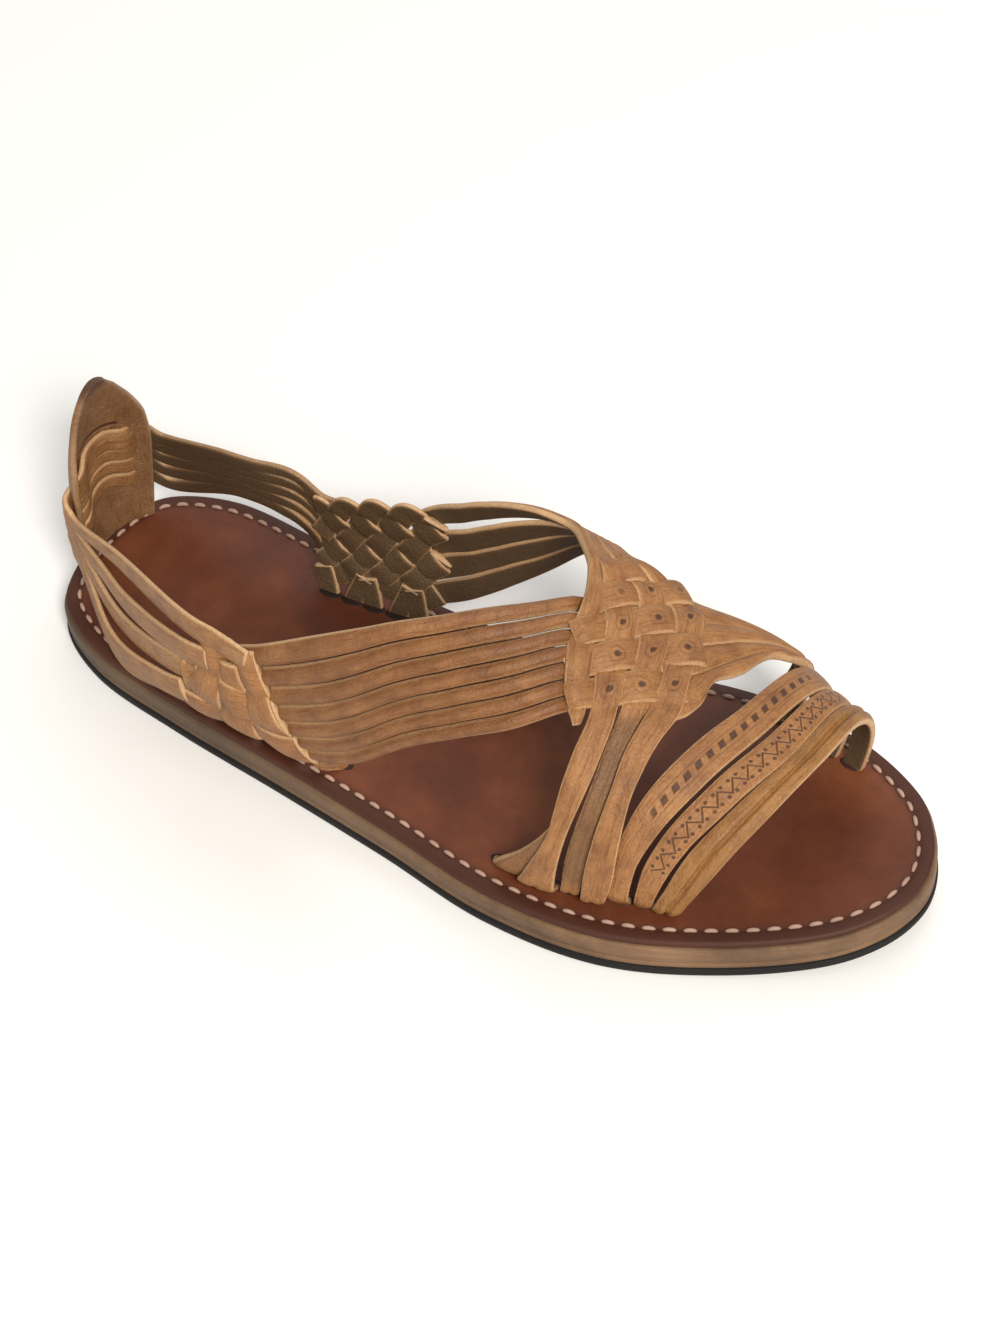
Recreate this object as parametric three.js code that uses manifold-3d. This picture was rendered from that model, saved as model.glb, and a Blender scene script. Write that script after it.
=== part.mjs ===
import * as THREE from 'three';
import { mergeVertices } from 'three/addons/utils/BufferGeometryUtils.js';
import Module from 'manifold-3d';

const wasm = await Module();
wasm.setup();

// Woven leather huarache for the right foot, in millimetres.
// +Y runs from heel to toe, +X is the wearer's right (the outer side), +Z is up.
// The origin is on the floor, under the middle of the sole's length.

// Sole
const soleLength = 280;
const ballWidth = 98;
const outsoleThickness = 4;
const midsoleThickness = 6.4;
const insoleThickness = 2;
const outsoleStep = 0.6;
const insoleInset = 0.8;
const edgeBreak = 0.5;
const toeSpring = 6;
const springStart = 218;
const seatGap = 0.3;

// Last that the straps are shaped over
const instepHeight = 68;
const heelHeight = 92;
const lastWidth = 84;
const heelInset = 3;
const tuckHeight = 26;
const lastPower = 2.4;

// Straps
const wallThickness = 1.5;
const stripThickness = 2.4;
const crossRise = 0.9;
const toeStrapThickness = 2.6;
const slotClearance = 0.4;

// Heel tab
const tabHeight = 67;
const tabWidth = 42;
const tabThickness = 2.6;
const tabRadius = 20;
const tabCentre = -6;
const tabLean = 9;
const tabClearance = 0.35;
const heelStripCount = 5;
const heelStripWidth = 3.2;
const heelStripSpread = 8.6;
const heelStripThickness = 1.7;
const ladderFoot = 21;
const ladderHeight = 19;
const heelSag = 9;

// Sole outline: half widths as shares of the ball width, at shares of the length
const outlineRows = [
  { along: 0.008, outer: 0.131, inner: 0.190 },
  { along: 0.030, outer: 0.243, inner: 0.300 },
  { along: 0.100, outer: 0.349, inner: 0.389 },
  { along: 0.220, outer: 0.402, inner: 0.385 },
  { along: 0.360, outer: 0.437, inner: 0.341 },
  { along: 0.500, outer: 0.477, inner: 0.358 },
  { along: 0.630, outer: 0.522, inner: 0.439 },
  { along: 0.750, outer: 0.490, inner: 0.506 },
  { along: 0.860, outer: 0.356, inner: 0.488 },
  { along: 0.945, outer: 0.202, inner: 0.374 },
  { along: 0.975, outer: 0.112, inner: 0.281 },
  { along: 0.993, outer: 0.020, inner: 0.186 },
];
const toeTip = -0.084;

// Last sections: half widths and centre as shares of the last's width, top as a share
// of the instep height, tuck as the share lost at the footbed
const lastRows = [
  { along: 0.136, outer: 0.405, inner: 0.310, centre: 0.024, tuckOuter: 0.14, tuckInner: 0.22 },
  { along: 0.250, outer: 0.450, inner: 0.310, centre: 0.024, tuckOuter: 0.18, tuckInner: 0.22 },
  { along: 0.357, outer: 0.476, inner: 0.345, centre: 0.012, tuckOuter: 0.18, tuckInner: 0.24 },
  { along: 0.464, outer: 0.495, inner: 0.417, centre: -0.012, tuckOuter: 0.14, tuckInner: 0.25 },
  { along: 0.536, outer: 0.524, inner: 0.462, centre: -0.048, tuckOuter: 0.08, tuckInner: 0.25 },
  { along: 0.625, outer: 0.560, inner: 0.525, centre: -0.060, tuckOuter: 0.04, tuckInner: 0.25 },
  { along: 0.696, outer: 0.560, inner: 0.548, centre: -0.071, tuckOuter: 0.04, tuckInner: 0.25 },
  { along: 0.768, outer: 0.512, inner: 0.520, centre: -0.095, tuckOuter: 0.04, tuckInner: 0.24 },
  { along: 0.839, outer: 0.452, inner: 0.405, centre: -0.119, tuckOuter: 0.04, tuckInner: 0.20 },
  { along: 0.911, outer: 0.345, inner: 0.300, centre: -0.155, tuckOuter: 0.04, tuckInner: 0.16 },
];

// Height of the last above the insole, as shares of heel height and instep height
const ridgeRows = [
  { along: 0.136, heel: 1.00, instep: 0.00 },
  { along: 0.250, heel: 1.00, instep: 0.00 },
  { along: 0.357, heel: 0.52, instep: 0.56 },
  { along: 0.464, heel: 0.16, instep: 0.92 },
  { along: 0.536, heel: 0.00, instep: 1.05 },
  { along: 0.625, heel: 0.00, instep: 0.88 },
  { along: 0.696, heel: 0.00, instep: 0.72 },
  { along: 0.768, heel: 0.00, instep: 0.60 },
  { along: 0.839, heel: 0.00, instep: 0.51 },
  { along: 0.911, heel: 0.00, instep: 0.42 },
];

// Bands over the last: each row gives the two edges as a share of the length and an angle
// round the section, from 0 at the outer footbed to 180 at the inner footbed
const outerBand = [
  { y0: 0.338, a0: 50, y1: 0.398, a1: 11 },
  { y0: 0.416, a0: 59, y1: 0.455, a1: 20 },
  { y0: 0.480, a0: 66, y1: 0.520, a1: 36 },
  { y0: 0.535, a0: 72, y1: 0.580, a1: 46 },
  { y0: 0.582, a0: 81, y1: 0.630, a1: 54 },
  { y0: 0.611, a0: 90, y1: 0.668, a1: 64 },
  { y0: 0.636, a0: 100, y1: 0.696, a1: 71 },
];
const throughBand = [
  { y0: 0.655, a0: 117, y1: 0.752, a1: 80 },
  { y0: 0.692, a0: 123, y1: 0.763, a1: 92 },
  { y0: 0.726, a0: 133, y1: 0.774, a1: 108 },
  { y0: 0.758, a0: 142, y1: 0.787, a1: 127 },
  { y0: 0.776, a0: 150, y1: 0.798, a1: 142 },
  { y0: 0.766, a0: 164, y1: 0.796, a1: 160 },
  { y0: 0.750, a0: 180, y1: 0.786, a1: 180 },
];
const overBand = [
  { y0: 0.380, a0: 127, y1: 0.380, a1: 172 },
  { y0: 0.425, a0: 121, y1: 0.425, a1: 164 },
  { y0: 0.470, a0: 117, y1: 0.465, a1: 156 },
  { y0: 0.520, a0: 114, y1: 0.507, a1: 147 },
  { y0: 0.562, a0: 113, y1: 0.562, a1: 132 },
  { y0: 0.606, a0: 102, y1: 0.632, a1: 117 },
  { y0: 0.634, a0: 92, y1: 0.690, a1: 120 },
  { y0: 0.662, a0: 81, y1: 0.734, a1: 108 },
  { y0: 0.690, a0: 68, y1: 0.759, a1: 84 },
  { y0: 0.695, a0: 50, y1: 0.767, a1: 62 },
  { y0: 0.684, a0: 30, y1: 0.776, a1: 36 },
  { y0: 0.660, a0: 12, y1: 0.790, a1: 14 },
  { y0: 0.638, a0: 0, y1: 0.796, a1: 0 },
];
const toeStraps = [
  [
    { y0: 0.724, a0: 0, y1: 0.744, a1: 0 },
    { y0: 0.744, a0: 22, y1: 0.762, a1: 20 },
    { y0: 0.757, a0: 46, y1: 0.777, a1: 39 },
    { y0: 0.775, a0: 69, y1: 0.798, a1: 61 },
    { y0: 0.794, a0: 97, y1: 0.818, a1: 90 },
    { y0: 0.803, a0: 134, y1: 0.828, a1: 130 },
    { y0: 0.801, a0: 158, y1: 0.825, a1: 157 },
    { y0: 0.797, a0: 180, y1: 0.818, a1: 180 },
  ],
  [
    { y0: 0.754, a0: 0, y1: 0.774, a1: 0 },
    { y0: 0.771, a0: 20, y1: 0.789, a1: 17 },
    { y0: 0.785, a0: 38, y1: 0.805, a1: 35 },
    { y0: 0.806, a0: 60, y1: 0.828, a1: 56 },
    { y0: 0.827, a0: 90, y1: 0.850, a1: 86 },
    { y0: 0.834, a0: 132, y1: 0.854, a1: 129 },
    { y0: 0.832, a0: 157, y1: 0.852, a1: 156 },
    { y0: 0.827, a0: 180, y1: 0.846, a1: 180 },
  ],
  [
    { y0: 0.784, a0: 0, y1: 0.806, a1: 0 },
    { y0: 0.797, a0: 15, y1: 0.820, a1: 14 },
    { y0: 0.812, a0: 32, y1: 0.841, a1: 33 },
    { y0: 0.837, a0: 56, y1: 0.865, a1: 59 },
    { y0: 0.856, a0: 86, y1: 0.879, a1: 90 },
    { y0: 0.860, a0: 128, y1: 0.882, a1: 122 },
    { y0: 0.858, a0: 156, y1: 0.881, a1: 154 },
    { y0: 0.854, a0: 180, y1: 0.876, a1: 180 },
  ],
];
const toeStrapStarts = [1.7, 0.6, 0];
const outerBraid = [
  { y0: 0.238, a0: 53, y1: 0.238, a1: 12 },
  { y0: 0.285, a0: 52, y1: 0.300, a1: 12 },
  { y0: 0.318, a0: 51, y1: 0.352, a1: 12 },
  { y0: 0.350, a0: 51, y1: 0.408, a1: 12 },
];
const innerBraid = [
  { y0: 0.258, a0: 127, y1: 0.262, a1: 168 },
  { y0: 0.305, a0: 124, y1: 0.305, a1: 168 },
  { y0: 0.350, a0: 122, y1: 0.350, a1: 168 },
  { y0: 0.400, a0: 123, y1: 0.395, a1: 168 },
];

// Heel tab: half width as a share of its width at shares of its height
const tabRows = [
  { up: 0.00, half: 0.40 },
  { up: 0.20, half: 0.46 },
  { up: 0.45, half: 0.50 },
  { up: 0.64, half: 0.46 },
  { up: 0.76, half: 0.36 },
  { up: 0.88, half: 0.23 },
  { up: 0.96, half: 0.12 },
  { up: 1.00, half: 0.03 },
];

const insoleTop = outsoleThickness + midsoleThickness + insoleThickness + 2 * seatGap;

// Smooth value of one column of a table at a share between its rows
function rowValue(rows, key, at) {
  const place = THREE.MathUtils.clamp(at, 0, rows.length - 1);
  const i = Math.min(Math.floor(place), rows.length - 2);
  const f = place - i;
  const p1 = rows[i][key];
  const p2 = rows[i + 1][key];
  const p0 = i > 0 ? rows[i - 1][key] : 2 * p1 - p2;
  const p3 = i + 2 < rows.length ? rows[i + 2][key] : 2 * p2 - p1;
  const m1 = (p2 - p0) / 2;
  const m2 = (p3 - p1) / 2;
  const f2 = f * f;
  const f3 = f2 * f;
  return (2 * f3 - 3 * f2 + 1) * p1 + (f3 - 2 * f2 + f) * m1 + (3 * f2 - 2 * f3) * p2 + (f3 - f2) * m2;
}

// Place of a value of a rising column, counted in rows
function rowPlace(rows, key, value) {
  const last = rows.length - 1;
  if (value <= rows[0][key]) return 0;
  if (value >= rows[last][key]) return last;
  const i = rows.findIndex((row) => row[key] > value) - 1;
  return i + (value - rows[i][key]) / (rows[i + 1][key] - rows[i][key]);
}

function toeLift(y) {
  const share = Math.max(0, (y - springStart) / (soleLength - springStart));
  return toeSpring * share * share;
}

function solidOf(positions, triangles) {
  const raw = new THREE.BufferGeometry();
  raw.setAttribute('position', new THREE.Float32BufferAttribute(positions, 3));
  raw.setIndex(triangles);
  const merged = mergeVertices(raw, 1e-4);
  const index = merged.getIndex().array;
  const kept = [];
  for (let i = 0; i < index.length; i += 3) {
    const [a, b, c] = [index[i], index[i + 1], index[i + 2]];
    if (a !== b && b !== c && a !== c) kept.push(a, b, c);
  }
  return new wasm.Manifold(new wasm.Mesh({
    numProp: 3,
    vertProperties: new Float32Array(merged.getAttribute('position').array),
    triVerts: new Uint32Array(kept),
  }));
}

function geometryOf(solid) {
  const mesh = solid.getMesh();
  const geometry = new THREE.BufferGeometry();
  geometry.setAttribute('position', new THREE.BufferAttribute(mesh.vertProperties, 3));
  geometry.setIndex(new THREE.BufferAttribute(mesh.triVerts, 1));
  geometry.computeVertexNormals();
  return geometry;
}

// Triangles that close a ring by joining each point to its mate on the other side
function mateFaces(count) {
  const faces = [];
  for (let i = 0; i < count / 2 - 1; i += 1) {
    const mate = count - 1 - i;
    faces.push([i, i + 1, mate], [i + 1, mate - 1, mate]);
  }
  return faces;
}

// Closed solid from rings of equal length, each turning left seen from the last one
function loft(rings, faces = mateFaces(rings[0].length)) {
  const count = rings[0].length;
  const positions = rings.flat().flatMap((p) => [p.x, p.y, p.z]);
  const triangles = [];
  for (let r = 0; r + 1 < rings.length; r += 1) {
    for (let i = 0; i < count; i += 1) {
      const j = (i + 1) % count;
      const a = r * count + i;
      const b = r * count + j;
      triangles.push(a, b, b + count, a, b + count, a + count);
    }
  }
  const top = (rings.length - 1) * count;
  for (const [a, b, c] of faces) triangles.push(c, b, a, top + a, top + b, top + c);
  return solidOf(positions, triangles);
}

// The same, with the rings turned round if they run the other way
function closed(rings, faces) {
  const solid = loft(rings, faces);
  return solid.volume() > 0 ? solid : loft([...rings].reverse(), faces);
}

// Sole outline, counterclockwise from just outside the heel's middle
const outline = (() => {
  const outer = outlineRows.map((row) => new THREE.Vector3(row.outer * ballWidth, row.along * soleLength, 0));
  const inner = outlineRows.map((row) => new THREE.Vector3(-row.inner * ballWidth, row.along * soleLength, 0));
  const tip = new THREE.Vector3(toeTip * ballWidth, soleLength, 0);
  const points = [new THREE.Vector3(0, 0, 0), ...outer, tip, ...inner.reverse()];
  const curve = new THREE.CatmullRomCurve3(points, true, 'centripetal');
  const sides = 72;
  return Array.from({ length: sides }, (_, i) => curve.getPointAt((i + 0.5) / sides));
})();

function outlineRing(inset, z) {
  const count = outline.length;
  return outline.map((point, i) => {
    const before = outline[(i + count - 1) % count];
    const after = outline[(i + 1) % count];
    const side = new THREE.Vector3().subVectors(after, before).normalize();
    const x = point.x - side.y * inset;
    const y = point.y + side.x * inset;
    return new THREE.Vector3(x, y, z + toeLift(y));
  });
}

function soleLayer(bottom, thickness, inset) {
  return loft([
    outlineRing(inset + edgeBreak, bottom),
    outlineRing(inset, bottom + edgeBreak),
    outlineRing(inset, bottom + thickness - edgeBreak),
    outlineRing(inset + edgeBreak, bottom + thickness),
  ]);
}

// Point of the last at a share of the length and an angle round the section, with its normal
function lastSize(along) {
  const place = rowPlace(lastRows, 'along', along);
  const value = (key) => rowValue(lastRows, key, place);
  const ridge = rowPlace(ridgeRows, 'along', along);
  const top = rowValue(ridgeRows, 'heel', ridge) * heelHeight + rowValue(ridgeRows, 'instep', ridge) * instepHeight;
  return {
    outer: value('outer') * lastWidth,
    inner: value('inner') * lastWidth,
    centre: value('centre') * lastWidth,
    tuckOuter: value('tuckOuter'),
    tuckInner: value('tuckInner'),
    top,
  };
}

function lastRatio(size, dx, dz) {
  const low = Math.max(0, 1 - dz / tuckHeight) ** 2;
  const half = dx > 0 ? size.outer * (1 - size.tuckOuter * low) : size.inner * (1 - size.tuckInner * low);
  const across = (Math.abs(dx) / half) ** lastPower;
  const up = (Math.max(0, dz) / size.top) ** lastPower;
  return (across + up) ** (1 / lastPower);
}

function lastPoint(along, angle) {
  const size = lastSize(along);
  const turn = THREE.MathUtils.degToRad(angle);
  const ux = Math.cos(turn);
  const uz = Math.max(0, Math.sin(turn));
  let reach = 40;
  for (let step = 0; step < 12; step += 1) {
    reach /= lastRatio(size, ux * reach, uz * reach);
  }
  const y = along * soleLength;
  return new THREE.Vector3(size.centre + ux * reach, y, insoleTop + toeLift(y) + uz * reach);
}

function lastNormal(along, angle) {
  const a = THREE.MathUtils.clamp(angle, 1, 179);
  const round = lastPoint(along, a + 1).sub(lastPoint(along, a - 1));
  const forward = lastPoint(along + 0.005, a).sub(lastPoint(along - 0.005, a));
  const normal = new THREE.Vector3().crossVectors(round, forward).normalize();
  if (angle <= 0 || angle >= 180) normal.setZ(0).normalize();
  return normal;
}

// Place on a band at a row count and a share of its width
function bandSpot(rows, at, share) {
  const [y0, a0, y1, a1] = ['y0', 'a0', 'y1', 'a1'].map((key) => rowValue(rows, key, at));
  const along = y0 + (y1 - y0) * share;
  const angle = a0 + (a1 - a0) * share;
  return { point: lastPoint(along, angle), normal: lastNormal(along, angle) };
}

// Ring round a band: its inner side at the given shares, then its outer side back again
function bandRing(rows, at, inner, outer, low, heights) {
  const under = inner.map((share) => {
    const { point, normal } = bandSpot(rows, at, share);
    return point.addScaledVector(normal, low);
  });
  const over = outer.map((share, i) => {
    const { point, normal } = bandSpot(rows, at, share);
    return point.addScaledVector(normal, heights[i]);
  });
  return [...under, ...over.reverse()];
}

const slots = [];
const pieces = [];

function dropped(ring, drop) {
  return ring.map((p) => p.clone().setZ(p.z - drop));
}

// Strip from one row to another; an end on the footbed runs down through a slot of its own
function addStrip(rows, options) {
  const { from, to, start = 0, end = rows.length - 1, steps, columns = 1 } = options;
  const { slotStart, slotEnd, low = 0, high = stripThickness } = options;
  const count = Math.max(2, Math.round((end - start) * steps));
  const shares = Array.from({ length: columns + 1 }, (_, i) => from + ((to - from) * i) / columns);
  const ringAt = (at, spread) => {
    const ring = bandRing(rows, at, shares, shares, low - spread, shares.map(() => high + spread));
    if (spread === 0) return ring;
    const side = ring[columns].clone().sub(ring[0]).setZ(0).setLength(spread);
    return ring.map((p, i) => {
      if (i === 0 || i === ring.length - 1) return p.sub(side);
      if (i === columns || i === columns + 1) return p.add(side);
      return p;
    });
  };
  const rings = Array.from({ length: count + 1 }, (_, i) => ringAt(start + ((end - start) * i) / count, 0));
  for (const [wanted, at] of [[slotStart, start], [slotEnd, end]]) {
    if (!wanted) continue;
    const cut = ringAt(at, slotClearance);
    slots.push(closed([dropped(cut, insoleThickness + 1), dropped(cut, -2)]));
  }
  if (slotStart) rings.unshift(dropped(rings[0], insoleThickness));
  if (slotEnd) rings.push(dropped(rings[rings.length - 1], insoleThickness));
  pieces.push(closed(rings));
}

// Strips side by side as one wall: each strip's two shoulders, with a groove after it
function addBand(rows, { count, gap, steps, start = 0, end = rows.length - 1 }) {
  const inner = [0, 1 / 3, 2 / 3, 1];
  const outer = [];
  const strip = [];
  for (let i = 0; i < count; i += 1) {
    if (i > 0) {
      outer.push(i / count);
      strip.push(-1);
    }
    outer.push(i === 0 ? 0 : (i + gap) / count, i === count - 1 ? 1 : (i + 1 - gap) / count);
    strip.push(i, i);
  }
  const heights = strip.map((i) => (i < 0 ? wallThickness : stripThickness));
  const flat = [
    ...inner.map((share) => new THREE.Vector2(share, 0)),
    ...outer.map((share, i) => new THREE.Vector2(share, heights[i])).reverse(),
  ];
  const faces = THREE.ShapeUtils.triangulateShape(flat, []).map((face) => [...face].sort((p, q) => p - q));
  const total = Math.round((end - start) * steps);
  const rings = Array.from({ length: total + 1 }, (_, i) => {
    const at = start + ((end - start) * i) / total;
    return bandRing(rows, at, inner, outer, 0, heights);
  });
  pieces.push(closed(rings, faces));
}

// Woven patch as one wall with the strips' bends raised, crossing square or on the slant
function addWeave(rows, { start = 0, end = rows.length - 1, across, down, slant, cuts }) {
  const columns = down * cuts;
  const stations = across * cuts;
  const shares = Array.from({ length: columns + 1 }, (_, i) => i / columns);
  const rings = [];
  for (let s = 0; s <= stations; s += 1) {
    const a = (s / stations) * across;
    const heights = shares.map((share) => {
      const b = share * down;
      const bend = slant
        ? Math.cos(Math.PI * (a + b)) * Math.cos(Math.PI * (a - b))
        : Math.cos(Math.PI * a) * Math.cos(Math.PI * b);
      return stripThickness + crossRise * bend;
    });
    rings.push(bandRing(rows, start + ((end - start) * s) / stations, shares, shares, 0, heights));
  }
  pieces.push(closed(rings));
}

// Short strip ends that run from a woven patch down into the footbed
function addRoots(rows, { count, foot, side }) {
  const first = rows[0].y1;
  const pitch = (rows[rows.length - 1].y1 - first) / count;
  for (let k = 0; k < count; k += 1) {
    const y0 = first + (k + 0.15) * pitch;
    const y1 = first + (k + 0.85) * pitch;
    const turn = (angle) => (side > 0 ? angle : 180 - angle);
    const root = [foot, foot / 2, 0].map((angle) => ({ y0, a0: turn(angle), y1, a1: turn(angle) }));
    addStrip(root, { from: 0, to: 1, steps: 1, slotEnd: true });
  }
}

addBand(outerBand, { count: 7, gap: 0.1, steps: 2.2 });
addWeave(overBand, { start: 4.8, end: 8.5, across: 5, down: 5, slant: false, cuts: 2 });
addBand(throughBand, { count: 4, gap: 0.08, steps: 3, end: 4.6 });
addBand(overBand, { count: 5, gap: 0.1, steps: 2.5, start: 8.4, end: 9.5 });
for (let i = 0; i < 4; i += 1) {
  addStrip(throughBand, { from: (i + 0.1) / 4, to: (i + 0.9) / 4, start: 4.5, steps: 2.6, slotEnd: true });
}
for (let i = 0; i < 5; i += 1) {
  const right = i === 0 ? 0.74 : 0.97;
  addStrip(overBand, { from: (i + 0.03) / 5, to: (i + right) / 5, end: 4.8, steps: 1.6 });
  addStrip(overBand, { from: (i + 0.1) / 5, to: (i + 0.9) / 5, start: 9.3, steps: 2.2, slotEnd: true });
}
toeStraps.forEach((rows, i) => {
  const start = toeStrapStarts[i];
  const slotStart = start === 0;
  addStrip(rows, { from: 0, to: 1, start, steps: 2, columns: 2, slotStart, slotEnd: true, low: 0.2, high: toeStrapThickness });
});
addWeave(outerBraid, { across: 4, down: 3, slant: true, cuts: 2 });
addRoots(outerBraid, { count: 5, foot: 16, side: 1 });
addWeave(innerBraid, { across: 4, down: 3, slant: true, cuts: 2 });
addRoots(innerBraid, { count: 4, foot: 16, side: -1 });

// Point of the heel tab's middle surface, moved outwards from the foot by an offset
function tabPoint(dx, up, offset = 0) {
  const turn = dx / tabRadius;
  const radius = tabRadius + offset;
  const lean = tabLean * up * up * up;
  const bulge = 1.2 * Math.sin(Math.PI * Math.min(1, up * 1.3));
  const back = heelInset + tabRadius + lean - bulge;
  const z = insoleTop + up * tabHeight;
  return new THREE.Vector3(tabCentre + radius * Math.sin(turn), back - radius * Math.cos(turn), z);
}

function tabBlank() {
  const rings = [];
  const rises = [0, 0.1, 0.2, 0.32, 0.44, 0.54, 0.64, 0.72, 0.8, 0.87, 0.93, 0.97, 1];
  const columns = 12;
  for (const up of rises) {
    const half = rowValue(tabRows, 'half', rowPlace(tabRows, 'up', up)) * tabWidth;
    const edge = (offset) => Array.from({ length: columns + 1 }, (_, i) => {
      return tabPoint(half * ((2 * i) / columns - 1), up, offset);
    });
    rings.push([...edge(tabThickness / 2), ...edge(-tabThickness / 2).reverse()]);
  }
  const down = (p) => p.clone().setZ(p.z - insoleThickness);
  rings.unshift(rings[0].map(down));
  return loft(rings);
}

// Middle line of a heel strip: from the outer braid, through the tab's slits, to the inner braid
function heelCurve(i) {
  const share = i / (heelStripCount - 1);
  const off = tabThickness / 2 + tabClearance + heelStripThickness / 2;
  const between = (first, last) => THREE.MathUtils.lerp(first, last, share);
  const atTab = (dx, side) => {
    const rise = ladderFoot + ladderHeight * (1 - share) - heelSag * (dx / tabRadius) ** 2;
    return tabPoint(dx, rise / tabHeight, side * off);
  };
  const outerEdge = lastPoint(0.225, between(53, 9));
  const taut = atTab(22, 1).lerp(outerEdge, 0.42);
  return new THREE.CatmullRomCurve3([
    lastPoint(0.262, between(50, 14)),
    outerEdge,
    taut.lerp(lastPoint(0.150, 9), share),
    atTab(22, 1),
    atTab(15, 1),
    atTab(8, -1),
    atTab(1, -1),
    atTab(-6, -1),
    atTab(-13, 1),
    atTab(-22, 1),
    lastPoint(0.16, between(123, 137)),
    lastPoint(0.225, between(122, 138)),
    lastPoint(0.262, between(129, 158)),
    lastPoint(0.272, between(130, 164)),
  ], false, 'centripetal');
}

// Share of a heel strip's middle line where it meets the tab, and where it leaves it
const tabFrom = 3 / 13;
const tabTo = 9 / 13;

// Heel strip or its slit, wide at the outer braid and narrow from the tab on
function heelSweep(curve, from, to, steps, spread) {
  const depth = heelStripThickness / 2 + spread;
  const rings = [];
  for (let s = 0; s <= steps; s += 1) {
    const at = from + ((to - from) * s) / steps;
    const narrow = Math.min(1, at / tabFrom) ** 3;
    const half = THREE.MathUtils.lerp(heelStripSpread, heelStripWidth, narrow) / 2 + spread;
    const centre = curve.getPoint(at);
    const ahead = curve.getTangent(at);
    const out = new THREE.Vector3(0, 0, 1).cross(ahead).normalize();
    const side = new THREE.Vector3().crossVectors(ahead, out).normalize();
    const corner = (across, away) => centre.clone().addScaledVector(side, across).addScaledVector(out, away);
    rings.push([corner(-half, -depth), corner(half, -depth), corner(half, depth), corner(-half, depth)]);
  }
  return closed(rings);
}

const heelCurves = Array.from({ length: heelStripCount }, (_, i) => heelCurve(i));
const slits = heelCurves.map((curve) => heelSweep(curve, tabFrom, tabTo, 12, tabClearance));
pieces.push(...heelCurves.map((curve) => heelSweep(curve, 0, 1, 26, 0)));

const tabSlot = (() => {
  const half = tabRows[0].half * tabWidth + slotClearance;
  const edge = (offset, drop) => Array.from({ length: 13 }, (_, i) => {
    const p = tabPoint(half * (i / 6 - 1), 0, offset);
    return p.setZ(p.z + drop);
  });
  const thick = tabThickness / 2 + slotClearance;
  const ring = (drop) => [...edge(thick, drop), ...edge(-thick, drop).reverse()];
  return loft([ring(-insoleThickness - 1), ring(2)]);
})();

const outsole = soleLayer(0, outsoleThickness, 0);
const midsoleBottom = outsoleThickness + seatGap;
const midsole = soleLayer(midsoleBottom, midsoleThickness, outsoleStep);
const insoleBottom = midsoleBottom + midsoleThickness + seatGap;
let insole = soleLayer(insoleBottom, insoleThickness, outsoleStep + insoleInset);
for (const cutter of [...slots, tabSlot]) insole = insole.subtract(cutter);

const upper = pieces.reduce((joined, piece) => joined.add(piece));
let heelTab = tabBlank();
for (const slit of slits) heelTab = heelTab.subtract(slit);

const model = new THREE.Group();
model.position.y = -soleLength / 2;

function addNode(name, solid, color, roughness) {
  const material = new THREE.MeshStandardMaterial({ color, roughness, metalness: 0 });
  const mesh = new THREE.Mesh(geometryOf(solid), material);
  mesh.name = name;
  model.add(mesh);
}

addNode('outsole', outsole, 0x2b2725, 0.85);
addNode('midsole', midsole, 0x7d6149, 0.75);
addNode('insole', insole, 0x6e3c28, 0.5);
addNode('upper', upper, 0xb98852, 0.6);
addNode('heel_tab', heelTab, 0x8c6f50, 0.6);

const object = new THREE.Group();
object.add(model);

export default object;
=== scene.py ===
import math

import bpy
import numpy as np
from mathutils import Matrix, Vector


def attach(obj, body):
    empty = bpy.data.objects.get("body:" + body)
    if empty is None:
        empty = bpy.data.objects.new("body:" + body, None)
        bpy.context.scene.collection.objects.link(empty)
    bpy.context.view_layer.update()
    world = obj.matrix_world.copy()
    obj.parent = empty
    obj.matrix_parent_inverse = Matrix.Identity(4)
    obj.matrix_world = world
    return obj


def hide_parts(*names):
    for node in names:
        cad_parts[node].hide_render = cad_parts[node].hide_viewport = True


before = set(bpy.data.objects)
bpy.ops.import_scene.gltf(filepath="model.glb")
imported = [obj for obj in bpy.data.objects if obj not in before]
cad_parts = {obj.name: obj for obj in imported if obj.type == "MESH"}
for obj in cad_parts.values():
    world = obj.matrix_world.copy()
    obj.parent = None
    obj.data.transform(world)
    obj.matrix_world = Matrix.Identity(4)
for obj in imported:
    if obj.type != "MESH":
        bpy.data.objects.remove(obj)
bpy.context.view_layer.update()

# Woven leather huarache, right shoe. Lengths in the tables are shares of the sole's length, and every
# shape is worked out in millimetres, heel at y = 0, then moved so that the mid-sole is over the origin.
mm = 0.001


# Camera: the photo's own viewpoint, turned on its two axes until the one shoe fills the frame

camera = {
    "place": (0.3790, 0.2954, 0.5821),  # metres, in the shoe's frame
    "forward": (-0.626, -0.354, -0.695),
    "focalPixels": 1921.7,  # for an image 1000 pixels wide
    "imageSize": (1000, 1333),
    "shoeCentre": (338, 835),  # pixel of the photo that becomes the middle of the frame
    "enlarge": 1.36,
}


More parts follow.
